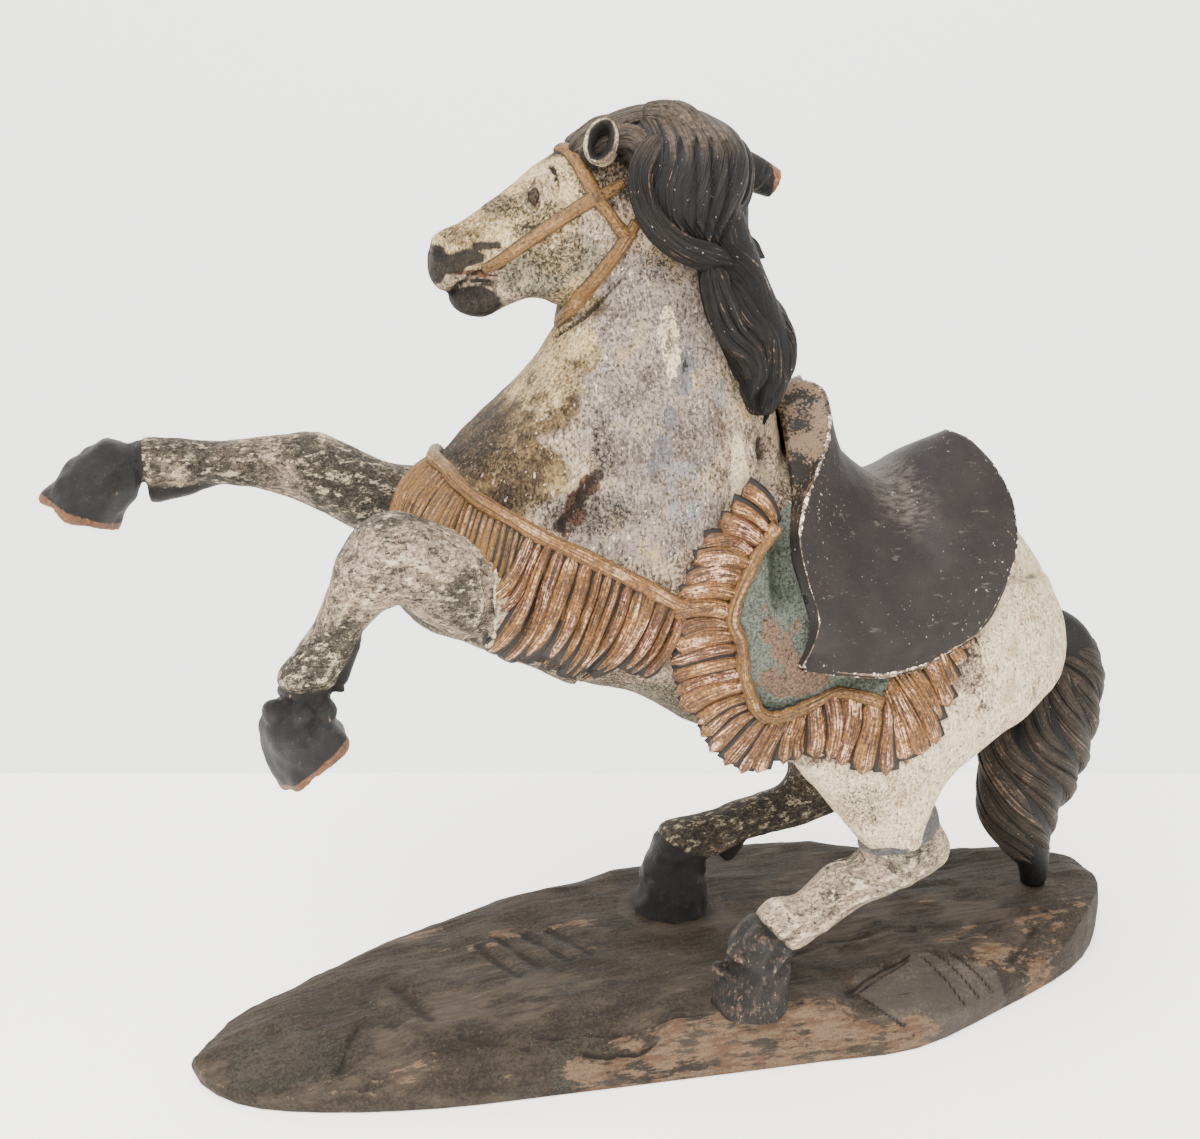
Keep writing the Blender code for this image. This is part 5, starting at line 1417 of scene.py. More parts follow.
def mane_mass():
    """The solid of the mane: its ridge, the dome over the poll and the fall behind the neck."""
    bm = bmesh.new()
    for rows, sides in ((MANE_RIDGE, 32), (MANE_STUB, 24), (MANE_DOME, 40), (MANE_FALL, 32),
                        (mirrored(MANE_FALL), 32)):
        skin(bm, limb_rings(rows, sides, FORM_STEPS))
    core = melt(from_forms("mane_core", bm), MANE_GRAIN, 3)
    mesh = core.data
    points = points_of(mesh)
    normals = normals_of(mesh)
    for rows in DOME_GROOVES:
        press(points, normals, rows, 1.5, 1.7)
    put_points(mesh, points)
    levels, middles, halves = np.array(MANE_COMB).T
    height = points[:, 2] * 1000
    middle = np.interp(height, levels, middles)
    half = np.interp(height, levels, halves)
    bend = 1.5 * np.sin(height / 8.0)
    put_value(mesh, "comb", (points[:, 0] * 1000 - middle) / half * 13 + bend)
    put_value(mesh, "along", height * 0.012)
    put_value(mesh, "tone", np.full(len(points), 0.5))
    mark_hollows(mesh, 10, 0.0007)
    # Crest is high where the mane stands proud and low in its hollows; the paint lights and shades it by this
    # value.
    lower = (eased(mesh, points, 10) - points) * normals_of(mesh)
    put_value(mesh, "crest", np.clip(0.45 - lower.sum(1) / 0.0014, 0, 1))
    put_value(mesh, "bare", (points[:, 0] > 0.0315) * (points[:, 2] > 0.35) * 1.0)
    return core


def build_mane(paint):
    """The mane: its solid, with the locks that run over it and fall on both sides."""
    core = mane_mass()
    put_value(core.data, "brown", ramp(points_of(core.data)[:, 2], 0.382, 0.396))
    dress(core, paint)
    mane = Strands()
    for number, rows in zip(LOCK_SEEDS, NEAR_LOCKS + FAR_LOCKS):
        run, drawn = lock_run(rows)
        mane.bundle(run, [row[3] / 1000 for row in drawn], [row[4] / 1000 for row in drawn], 8, number,
                    1.2 * math.sin(number * 1.9 + 0.5))
    locks = mane.build("mane")
    put_value(locks.data, "brown", ramp(points_of(locks.data)[:, 2], 0.382, 0.398))
    dress(locks, paint)


def build_tail(paint):
    """The tail: twisted strands with fine grooves about a swelling core."""
    bm = bmesh.new()
    skin(bm, limb_rings(TAIL, 32, FORM_STEPS))
    core = melt(from_forms("tail_core", bm), TAIL_GRAIN, 1)
    count = len(core.data.vertices)
    # A low crest, so that the core between the strands is painted as if in shade.
    put_value(core.data, "crest", np.full(count, 0.2))
    put_value(core.data, "tone", np.full(count, 0.5))
    dress(core, paint)
    tail = Strands()
    drawn = flow(TAIL[2:], LINE_STEPS)
    last = len(drawn) - 1
    for number in range(TAIL_STRANDS):
        run = []
        for index, (x, y, z, lean, depth, half) in enumerate(drawn):
            turn = 2 * math.pi * (number / TAIL_STRANDS + TAIL_TWIST * index / last)
            out = (heading(lean) * math.cos(turn) * (depth - 3)
                   + Vector((0, 1, 0)) * math.sin(turn) * (half - 3))
            run.append((spot(x, y, z) + out / 1000, out.normalized()))
        taper = [0.4 + 0.6 * math.sin(math.pi * min(0.12 + index / last, 0.93))
                 for index in range(last + 1)]
        tail.bundle(run, [0.0088 * part for part in taper], [0.0050 * part for part in taper], 6, number,
                    1.6)
    hair = tail.build("tail_hair")
    put_value(hair.data, "brown", np.full(len(hair.data.vertices), 0.45))
    dress(hair, paint, "tail")


class BuildLimbs(bpy.types.Operator):
    """Build the four lower legs with their hooves"""
    bl_idname = "horse.limbs"
    bl_label = "Build Limbs"

    def execute(self, context):
        sizes = context.scene.horse_sizes
        paints = context.scene.horse_paints
        for name, node, rows, spur, edge, sole, stands, shade in LIMBS:
            build_limb(sizes, paints, name, node, rows, spur, edge, sole, stands, shade)
        return {"FINISHED"}


def beyond(points, plane):
    """How far points lie past a plane, in millimetres: x, z on it and the x, z it faces."""
    x, z, facing_x, facing_z = plane
    size = math.hypot(facing_x, facing_z)
    return ((points[:, 0] * 1000 - x) * facing_x + (points[:, 2] * 1000 - z) * facing_z) / size


def build_limb(sizes, paints, name, node, rows, spur, edge, sole, stands, shade):
    """One lower leg: its form, its knobs and the colours of its hoof."""
    bm = bmesh.new()
    foot = rows[-1]
    drawn = rows + [(foot[0], foot[1], foot[2] - 4, *foot[3:])] if stands else rows
    skin(bm, limb_rings(drawn, 40, FORM_STEPS))
    tip, before = spur[-1], spur[-2]
    round_end = tuple(a + (a - b) * 0.12 for a, b in zip(tip[:3], before[:3]))
    round_end = (*round_end, tip[3], tip[4] * 0.3, tip[5] * 0.3)
    skin(bm, limb_rings(spur + [round_end], 16, LIMB_STEPS))
    for x, y, z, reach in KNOBS[name]:
        bmesh.ops.create_icosphere(bm, subdivisions=3, radius=reach / 1000,
                                   matrix=Matrix.Translation(spot(x, y, z)))
    obj = melt(from_forms(name, bm), sizes.limb_grain, 5)
    mesh = obj.data
    points = points_of(mesh)
    normals = normals_of(mesh)
    hoof = ramp(beyond(points, edge), -1.5, 1.0)
    bumps = np.array([ripple(point, ((75, 0.0010 + 0.0012 * part), (170, 0.0005 + 0.0005 * part)))
                      for point, part in zip(points, hoof)])
    points += normals * bumps[:, None]
    for side in (-1, 1):
        tendon = [(x, y + side * half, z) for x, y, z, _, _, half in rows[1:-2]]
        press(points, normals, tendon, 3.0, 0.9)
    for line, half, depth in LIMB_CUTS.get(name, []):
        press(points, normals, line, half, depth)
    gap, _ = run_distance(points, [tuple(spot(*row[:3])) for row in spur])
    horn = ramp(beyond(points, edge), -1.5, 1.0)
    fin = (gap < 0.006) & (beyond(points, SPUR_SIDES[name]) > 0)
    sides = ramp(beyond(points, edge), 0.5, 3.0)
    points -= normals * (np.exp(-(beyond(points, edge) / 1.6) ** 2) * 0.0009)[:, None]
    points += normals * (sides * 0.0003)[:, None]
    if stands:
        points[:, 2] = np.maximum(points[:, 2], (PAD_TOP + SOLE_GAP) / 1000)
    put_points(mesh, points)
    put_value(mesh, "horn", np.maximum(horn, fin * 1.0))
    put_value(mesh, "sole", ramp(beyond(points, sole), -4.2, -3.0) if sole else np.zeros(len(points)))
    put_value(mesh, "band", ramp(-np.abs(beyond(points, HOCK_BAND) - 3.0), -9, -5) if stands
              else np.zeros(len(points)))
    mark_hollows(mesh, 10, 0.0007)
    dress(obj, limb_paint(name + "_paint", paints, shade), node)


class BuildPlinth(bpy.types.Operator):
    """Build the carved ground plinth"""
    bl_idname = "horse.plinth"
    bl_label = "Build Plinth"

    def execute(self, context):
        obj = plinth_form(context.scene.horse_sizes)
        dress(obj, earth_paint(context.scene.horse_paints), "base")
        return {"FINISHED"}


def plinth_outline():
    """The plinth's outline as closed points in metres."""
    rows = PLINTH_OUTLINE[-1:] + PLINTH_OUTLINE + PLINTH_OUTLINE[:2]
    run = flow(rows, 3)[3:-6]
    return np.array([((x + PLINTH_SHIFT[0]) * BASE_LENGTH, (y + PLINTH_SHIFT[1]) * BASE_WIDTH)
                     for x, y in run])


def outline_gap(outline, x, y):
    """How far places lie from the plinth's outline."""
    ring = np.vstack([outline, outline[:1]])
    flat = np.column_stack([x, y, np.zeros(len(x))])
    gap, _ = run_distance(flat, [(a, b, 0.0) for a, b in ring])
    return gap


def seat_reach(x, y, seat):
    """How far places lie from the middle of a seat."""
    return np.hypot(x - seat[0] / 1000, y - seat[1] / 1000)


def ground_height(outline, x, y):
    """Height of the plinth's carved top at places."""
    part = x / BASE_LENGTH + 0.5 - PLINTH_SHIFT[0]
    rise = np.clip(part / RISE_END, 0, 1)
    crown = TIP_THICKNESS + (PAD_HEIGHT - TIP_THICKNESS) * np.sin(rise * math.pi / 2)
    crown = crown + np.where(part > FALL_START, (HEEL_THICKNESS - PAD_HEIGHT) * (part - FALL_START) / 0.3, 0)
    nearness = np.clip(0.5 - (y / BASE_WIDTH - PLINTH_SHIFT[1]) * 2.2, 0, 1)
    nearness = np.where(part > ROUND_START, nearness * (1 - part) / 0.14, nearness)
    slope = 0.010 + 0.020 * nearness
    drop = crown * (0.12 + 0.45 * nearness)
    gap = np.minimum(outline_gap(outline, x, y) / slope, 1.0)
    facets = np.array([noise.noise(Vector((a * 34, b * 34, 2.0))) * 0.0018 for a, b in zip(x, y)])
    height = crown - drop * (1 - gap) ** 2 + facets
    for seat in SEATS:
        blend = np.clip((seat[2] + SEAT_SPREAD - seat_reach(x, y, seat)) / (SEAT_SPREAD - 0.012), 0, 1)
        height += (PAD_HEIGHT - height) * blend * blend * (3 - 2 * blend)
    return height


def crossings(outline, x):
    """The lowest and highest y of the outline at x."""
    ys = []
    ring = np.vstack([outline, outline[:1]])
    for (x_a, y_a), (x_b, y_b) in zip(ring, ring[1:]):
        if (x_a > x) != (x_b > x):
            ys.append(y_a + (y_b - y_a) * (x - x_a) / (x_b - x_a))
    return min(ys), max(ys)


def plinth_grid(outline, grain):
    """Places in columns across the plinth's outline, closer at its rim; gives them and both counts."""
    low, high = outline[:, 0].min(), outline[:, 0].max()
    columns = int((high - low) / grain)
    across = int(BASE_WIDTH / grain)
    middle = (low + high) / 2
    half = (high - low) / 2
    linear = np.linspace(0, 1, across + 1)
    shares = 0.6 * linear + 0.4 * (0.5 - 0.5 * np.cos(linear * math.pi))
    grid = []
    for column in range(columns + 1):
        turn = math.pi * (column / columns)
        x = middle + half * (0.5 * (column / columns * 2 - 1) - 0.5 * math.cos(turn)) * 0.9998
        near, far = crossings(outline, x)
        grid.append(np.column_stack([np.full(across + 1, x), near + (far - near) * shares]))
    return np.vstack(grid), columns, across


def plinth_walls(points, faces, rim, centre):
    """Add the plinth's sides under its rim, a little bulged and uneven, and its flat underside."""
    above = rim
    for level in range(1, WALL_STEPS + 1):
        part = level / WALL_STEPS
        ring = []
        for index in rim:
            x, y, z = points[index]
            out = Vector((x - centre[0], (y - centre[1]) * 3)).normalized()
            wave = noise.noise(Vector((x * 60, y * 60, part * 1.5))) * 0.0012 * math.sin(math.pi * part)
            bulge = 0.0008 * math.sin(math.pi * part) + wave
            points.append((x + out.x * bulge, y + out.y * bulge, z * (1 - part)))
            ring.append(len(points) - 1)
        for number in range(len(rim)):
            after = (number + 1) % len(rim)
            faces.append((above[number], above[after], ring[after], ring[number]))
        above = ring
    faces.append(tuple(reversed(above)))


def plinth_form(sizes):
    """The plinth as a fine skin over its top and sides, flat underneath."""
    outline = plinth_outline()
    flat, columns, across = plinth_grid(outline, sizes.base_grain)
    x, y = flat.T
    height = ground_height(outline, x, y)
    height += plinth_relief(x, y)
    seated = np.zeros(len(flat))
    for seat in SEATS:
        seated = np.maximum(seated, ramp(-seat_reach(x, y, seat), -seat[2] - 0.004, -seat[2] + 0.002))
    height = height * (1 - seated) + PAD_HEIGHT * seated
    wide = across + 1
    faces = []
    for column in range(columns):
        for row in range(across):
            a = column * wide + row
            faces.append((a, a + wide, a + wide + 1, a + 1))
    rim = [column * wide for column in range(columns + 1)]
    rim += [columns * wide + row for row in range(1, wide)]
    rim += [column * wide + across for column in range(columns - 1, -1, -1)]
    rim += list(range(across - 1, 0, -1))
    points = [tuple(point) for point in np.column_stack([flat, height])]
    plinth_walls(points, faces, rim, flat.mean(0))
    obj = from_faces("plinth", points, faces)
    mesh = obj.data
    points = points_of(mesh)
    put_value(mesh, "edge", ramp(-outline_gap(outline, points[:, 0], points[:, 1]), -0.012, -0.002))
    for name, patches in (("tan", TAN_PATCHES), ("grey", GREY_PATCHES), ("green", GREEN_PATCHES)):
        put_value(mesh, name, blobs(points, patches, 1))
    put_value(mesh, "ring", ring_marks(points))
    mark_hollows(mesh, 12, 0.0006)
    return obj


def ring_marks(points):
    """1 on the ring of old glue round the far hoof."""
    reach = seat_reach(points[:, 0], points[:, 1], SEATS[1])
    weight = np.exp(-((reach - SEATS[1][2] - 0.003) / 0.005) ** 2)
    return weight * (points[:, 2] > PAD_HEIGHT - 0.004)


def plinth_relief(x, y):
    """Gouge cuts, cracks and steps on the plinth's top."""
    relief = np.zeros(len(x))
    flat = np.column_stack([x, y, np.zeros(len(x))])
    for rows, half, depth in GOUGES:
        gap, _ = run_distance(flat, [(a / 1000, b / 1000, 0.0) for a, b in rows])
        relief -= np.clip(1 - (gap * 1000 / half) ** 2, 0, 1) * depth / 1000
    for (a, b), (c, d), drop in STEPS:
        side = (c - a) * (y * 1000 - b) - (d - b) * (x * 1000 - a)
        side = side / math.hypot(c - a, d - b)
        along = ((x * 1000 - a) * (c - a) + (y * 1000 - b) * (d - b)) / ((c - a) ** 2 + (d - b) ** 2)
        held = ramp(along, -0.1, 0.1) * ramp(-along, -1.1, -0.9)
        relief -= held * ramp(side, -0.4, 0.4) * np.exp(-np.clip(side, 0, 99) / 14) * drop / 1000
    grain = np.array([noise.noise(Vector((a * 60, b * 420, 5.0))) for a, b in zip(x, y)])
    scoops = np.array([noise.voronoi(Vector((a * 30 + b * 12, b * 62 - a * 6, 3.0)))[0][0]
                       for a, b in zip(x, y)])
    return relief + grain * 0.00045 + (scoops ** 2 - 0.25) * 0.0024


def coat_paint(paints):
    """Cream, lilac and ochre paint over a rough ground, pitted with dark specks, with painted shade in its
    hollows and on its undersides.
    """
    sheet = Sheet("coat_paint")
    fine = sheet.mottle(0.0012, 5.0, 0.78, (1.1, 1, 0.85))
    grain = sheet.mottle(0.0016, 3.0, 0.6, (1.2, 1, 0.4), 4.0)
    patches = sheet.mottle(0.011, 6.0, 0.72, (1, 1, 0.8), 61.0)
    cloud = sheet.mottle(0.014, 4.0, 0.62, EVEN, 9.0)
    wide = sheet.mottle(0.045, 2.0, 0.5, EVEN, 2.0)
    ragged = cloud.about(1.6) + fine.about(0.5)
    strokes = fine.about(1.45) + grain.about(0.6)
    tinted = strokes + cloud.about(0.8)

    def zone(name, low, high):
        return (sheet.value(name) + ragged).step(low, high)

    def tone(dark, light, shift=0.0):
        return sheet.between(tinted + shift, -0.22, 0.20, dark, light)

    sheet.colour = tone(paints.stone_dark, paints.stone)
    sheet.lay(zone("lilac", 0.25, 0.60), tone(paints.lilac_dark, paints.lilac))
    sheet.lay(zone("moss", 0.35, 0.65), tone(paints.moss_dark, paints.moss))
    sheet.lay(zone("cream", 0.35, 0.55), tone(paints.cream_dark, paints.cream, 0.06))
    stain = sheet.between(cloud + fine.about(0.5), 0.40, 0.62, paints.ochre_dark, paints.ochre)
    sheet.lay(zone("ochre", 0.05, 0.48) * 0.92, sheet.between(strokes, 0.18, 0.46, stain, paints.straw))
    sheet.lay(zone("straw", 0.05, 0.6) * 0.85, tone(paints.ochre, paints.straw))
    flake = (sheet.value("slate") * 0.55 + patches.about(2.4)).step(0.44, 0.49)
    sheet.lay(flake * 0.9, sheet.between(grain, 0.35, 0.7, paints.slate, paints.slate_light))
    sheet.lay((sheet.value("sky") * 0.5 + patches.about(2.0)).step(0.36, 0.46) * 0.75,
              sheet.between(fine, 0.4, 0.6, paints.slate_light, paints.sky))
    rusted = sheet.value("rust") * 0.7 + patches.about(1.6) + fine.about(0.5)
    sheet.lay(rusted.step(0.44, 0.56) * 0.9, sheet.between(grain, 0.4, 0.6, paints.copper, paints.rust))
    flecks = sheet.mottle(0.0026, 4.0, 0.7, (1.2, 1, 0.7), 21.0)
    sheet.lay((flecks + strokes * 0.1).step(0.62, 0.66) * 0.75, paints.chalk)
    # Dirt patches and the painted shade of the undersides, laid as dark soil.
    soiled_and_shaded = (sheet.value("dirt_and_shade") + wide.about(0.8) + cloud.about(0.9)).step(0.2, 1.0)
    sheet.lay(soiled_and_shaded * 0.35, paints.soil_and_shade)
    pits = sheet.mottle(0.0011, 5.0, 0.8, (1.0, 1, 0.8), 31.0)
    pitted = (pits + soiled_and_shaded * 0.075 - sheet.value("cream") * 0.012).step(0.565, 0.615)
    sheet.lay(pitted * 0.85, paints.umber)
    blots = sheet.mottle(0.0060, 5.0, 0.75, (1, 1, 0.8), 55.0)
    blotted = (blots + soiled_and_shaded * 0.05).step(0.655, 0.69)
    sheet.lay(blotted * 0.8, paints.umber)
    # Painted shade: umber laid in the hollows of the carving.
    sheet.lay((sheet.value("hollow") + fine.about(0.4)).step(0.22, 0.9) * 0.85, paints.umber)
    black = sheet.value("black") + patches.about(1.0) + blots.about(1.6) + fine.about(1.2)
    sheet.lay(black.step(0.12, 0.60) * 0.96, sheet.between(fine, 0.55, 0.75, paints.horn, paints.horn_worn))
    height = (fine - pitted * 0.9) * 0.7 + grain * 0.3 - flake * 0.25 - blotted * 0.5
    return sheet.finish(0.66 + fine * 0.2, height, 0.0022)


def limb_paint(name, paints, shade):
    """Cream paint worn to dark wood on the legs, near black on the hooves, bare at the sole, with painted
    highlights where the form stands proud and painted shade in its hollows.
    """
    sheet = Sheet(name)
    fine = sheet.mottle(0.0012, 5.0, 0.75)
    grain = sheet.mottle(0.0014, 3.0, 0.6, (0.5, 1, 1), 4.0)
    cloud = sheet.mottle(0.0055, 5.0, 0.74, EVEN, 9.0)
    wide = sheet.mottle(0.03, 2.0, 0.5, EVEN, 12.0)
    hollow = sheet.value("hollow")
    strokes = fine.about(1.0) + grain.about(0.7) + cloud.about(0.6)
    bright = strokes.step(-0.25, 0.22)
    sheet.colour = sheet.blend(bright, paints.stone_dark, paints.stone)
    sheet.lay(wide.step(0.42, 0.58), sheet.blend(bright, paints.moss_dark, paints.moss))
    # Painted highlight: cream where the form stands proud, mixed with brush strokes.
    sheet.lay((hollow * -1.0 + strokes).step(0.15, 0.7) * 0.7, paints.cream)
    worn = cloud + fine.about(0.9) + wide.about(0.5) + (shade - 0.5) * 0.22 + hollow * 0.08
    worn = worn.step(0.50, 0.57)
    sheet.lay(worn * 0.88, sheet.between(fine, 0.5, 0.68, paints.umber, paints.stone_dark))
    # Painted shade: umber laid in the hollows.
    sheet.lay((hollow + fine.about(0.5)).step(0.2, 0.8) * 0.85, paints.umber)
    pits = sheet.mottle(0.0016, 5.0, 0.78, (0.55, 1, 1), 31.0)
    sheet.lay((pits + wide.about(0.12) + (shade - 0.5) * 0.04).step(0.54, 0.59) * 0.9, paints.umber)
    crust = sheet.mottle(0.0026, 5.0, 0.78, (0.45, 1, 0.9), 71.0)
    crusted = (crust - hollow * 0.05 + wide.about(0.15)).step(0.555, 0.64)
    sheet.lay(crusted * (1.0 - shade * 0.55), paints.cream)
    band = (sheet.value("band") + cloud.about(0.9)).step(0.30, 0.46)
    sheet.lay(band * 0.85, sheet.blend(bright * 0.55, paints.slate_dark, paints.slate))
    horn = sheet.between(fine + cloud.about(0.9), 0.60, 0.8, paints.horn, paints.horn_worn)
    scuffs = sheet.mottle(0.0016, 5.0, 0.8, (1, 1, 0.45), 81.0)
    needed = 0.0 if shade < 0.5 else 0.50
    # Rubbed horn and painted highlight: rose and gleam on the knobs, leaning to the proud places.
    rubbed = (hollow * -0.3 + scuffs.about(2.6) + cloud.about(1.6)).step(needed, needed + 0.5)
    tint = sheet.between(cloud + (wide - 0.5), 0.42, 0.58, paints.moss_dark, paints.rose)
    horn = sheet.blend(rubbed * 0.75, horn, sheet.between(scuffs, 0.60, 0.68, tint, paints.gleam))
    sole = (sheet.value("sole") + fine.about(0.5) + cloud.about(0.5)).step(0.45, 0.6)
    horn = sheet.blend(sole, horn, sheet.blend(bright, paints.timber_dark, paints.timber))
    sheet.lay((sheet.value("horn") + fine.about(0.6)).step(0.4, 0.6), horn)
    height = fine * 0.8 + cloud * 0.5 - worn * 0.4
    return sheet.finish(0.64 + fine * 0.2 - sheet.value("horn") * 0.26, height, 0.0022, 0.0, 0.35)


def gilt_paint(name, paints, worn, dull):
    """Gold brown paint, near black in the grooves and under the strands as painted shade, and rubbed pale
    along a few crests as wear and painted highlight.
    """
    sheet = Sheet(name)
    fine = sheet.mottle(0.0012, 4.0, 0.72)
    cloud = sheet.mottle(0.010, 3.0, 0.6, EVEN, 6.0)
    lines = sheet.combed(0.75, 2.5)
    crest = sheet.value("crest")
    sheet.colour = sheet.between(fine + cloud.about(0.6) + lines.about(0.8), 0.30, 0.66,
                                 paints.gold_dark, paints.gold)
    red = (sheet.value("tone") * 0.5 + cloud.about(2.2) + worn * 0.28 - 0.08).step(0.38, 0.75)
    sheet.lay(red * 0.75, sheet.between(fine + lines.about(0.8), 0.35, 0.65, paints.copper, paints.rust))
    sheet.lay((cloud + (dull - 0.5) * 0.4).step(0.45, 0.65) * dull,
              sheet.between(fine, 0.3, 0.6, paints.gold_dark, paints.brass))
    # Painted shade: umber where a strand turns down to the body, on the dark beds and in the comb grooves.
    unshaded_by_grooves = (lines + fine.about(0.4)).step(0.30, 0.46)
    proud = (crest + fine.about(0.4) + cloud.about(0.5)).step(0.30, 0.78) * (0.15 + unshaded_by_grooves * 0.85)
    sheet.colour = sheet.blend(proud, paints.umber, sheet.colour)
    # Worn paint and painted highlight: pale along the upper crests.
    rubbed = crest * 0.7 + lines.about(1.4) + fine.about(0.9) + cloud.about(1.1)
    sheet.lay(rubbed.step(0.84 - worn * 0.14, 1.08 - worn * 0.12) * worn,
              sheet.between(fine, 0.35, 0.55, paints.rose, paints.gleam))
    sheet.lay(sheet.mottle(0.0018, 4.0, 0.72, EVEN, 14.0).step(0.60, 0.65) * 0.8, paints.umber)
    return sheet.finish(0.45 + fine * 0.3, fine * 0.35 + lines * 0.9, 0.0014, 0.08, 0.4)


def saddle_paint(paints):
    """Smooth dark brown paint with pale flecks, worn through at the rims, with a painted sheen on the seat
    and a painted shadow under the lip.
    """
    sheet = Sheet("saddle_paint")
    fine = sheet.mottle(0.0012, 4.0, 0.72)
    cloud = sheet.mottle(0.016, 4.0, 0.65, EVEN, 3.0)
    grain = sheet.mottle(0.0018, 4.0, 0.65, (0.3, 1, 1), 8.0)
    sheet.colour = sheet.between(cloud + fine.about(0.5), 0.35, 0.7, paints.leather, paints.leather_light)
    # Painted sheen and wear: lighter rubbed leather over the seat.
    sheet.lay((sheet.value("sheen") + cloud.about(0.7) + grain.about(0.5)).step(0.3, 1.1) * 0.7,
              sheet.between(grain, 0.35, 0.65, paints.leather_light, paints.leather_worn_and_sheen))
    scrapes = sheet.mottle(0.004, 5.0, 0.75, (0.35, 1, 1), 33.0).step(0.60, 0.68)
    sheet.lay(scrapes * 0.5, paints.leather_worn_and_sheen)
    sheet.lay(sheet.value("lip"),
              sheet.between(fine + cloud.about(1.3), 0.46, 0.58, paints.umber, paints.tan))
    sheet.lay(sheet.value("shadow"), paints.horn)
    chips = sheet.mottle(0.0045, 4.0, 0.7, EVEN, 41.0)
    sheet.lay((sheet.value("rim") + fine.about(0.8) + chips.about(2.4)).step(0.60, 0.80) * 0.9,
              sheet.between(fine + chips.about(1.5), 0.56, 0.66, paints.tan, paints.chalk))
    flecks = sheet.mottle(0.0015, 4.0, 0.65, (1, 1, 0.6), 17.0)
    zone = sheet.mottle(0.03, 2.0, 0.5, EVEN, 27.0).step(0.35, 0.75)
    sheet.lay((flecks + zone * 0.07).step(0.70, 0.74) * 0.5, paints.chalk)
    height = fine * 0.5 + grain * 0.4 - scrapes * 0.3
    return sheet.finish(0.50 + fine * 0.2 + sheet.value("hollow") * 0.1, height, 0.0005, 0.06, 0.3)


def cloth_paint(paints):
    """Grey teal paint with dusty pink patches and dark specks, and painted shade in its hollows."""
    sheet = Sheet("cloth_paint")
    fine = sheet.mottle(0.0012, 4.0, 0.75)
    cloud = sheet.mottle(0.012, 4.0, 0.65, EVEN, 5.0)
    patches = sheet.mottle(0.022, 5.0, 0.7, EVEN, 25.0)
    sheet.colour = sheet.between(fine, 0.35, 0.65, paints.teal_dark, paints.teal)
    sheet.lay((sheet.value("rose") * 0.6 + patches.about(2.6) + cloud.about(1.0)).step(0.30, 0.42),
              sheet.between(fine, 0.35, 0.6, paints.soil_and_shade, paints.rose))
    # Painted shade: umber laid in the hollows.
    sheet.lay(sheet.value("hollow").step(0.2, 0.8) * 0.8, paints.umber)
    sheet.lay(sheet.mottle(0.0014, 4.0, 0.75, EVEN, 19.0).step(0.56, 0.62) * 0.8, paints.umber)
    return sheet.finish(0.7, fine, 0.0008)


def hair_paint(paints):
    """Black brown paint, lighter on its crests as painted highlight and near black in its grooves as painted
    shade, browner over the poll, worn pinkish on a few crests, partly as painted highlight, and bare at the
    break.
    """
    sheet = Sheet("hair_paint")
    fine = sheet.mottle(0.0014, 4.0, 0.68)
    cloud = sheet.mottle(0.014, 4.0, 0.65, EVEN, 13.0)
    lines = sheet.combed(0.8, 3.0)
    crest = sheet.value("crest")
    # Painted light: lighter brown on the crests, near black down in the comb grooves as painted shade.
    sheet.colour = sheet.between(crest * 0.5 + lines.about(1.6) + fine.about(0.4), 0.15, 0.75,
                                 paints.hair, paints.hair_highlight)
    brown = sheet.value("brown") * (crest * 0.5 + lines.about(1.2) + cloud.about(0.8)).step(0.0, 0.5)
    sheet.lay(brown * 0.8, sheet.between(fine, 0.35, 0.65, paints.soil_and_shade, paints.bistre))
    # Pink on a few crests, partly worn paint and partly painted highlight.
    worn = lines.about(1.8) + crest * 0.35 + fine.about(0.8) + cloud.about(1.9)
    sheet.lay(worn.step(0.62, 0.80) * 0.8, sheet.blend(fine, paints.hair_worn, paints.rose))
    sheet.lay((sheet.value("bare") + fine.about(0.2)).step(0.4, 0.6),
              sheet.between(fine, 0.4, 0.6, paints.timber_dark, paints.timber))
    sheet.lay(sheet.mottle(0.0016, 3.0, 0.6, EVEN, 23.0).step(0.71, 0.74) * 0.5, paints.chalk)
    return sheet.finish(0.42 + fine * 0.25, fine * 0.3 + lines * 1.2, 0.0018, 0.0, 0.22)


def eye_paint(paints):
    """Dull, nearly black paint."""
    sheet = Sheet("eye_paint")
    fine = sheet.mottle(0.001, 3.0, 0.6)
    sheet.colour = sheet.between(fine, 0.42, 0.62, paints.umber, paints.soil_and_shade)
    return sheet.finish(0.6, fine, 0.0004, 0.0, 0.15)


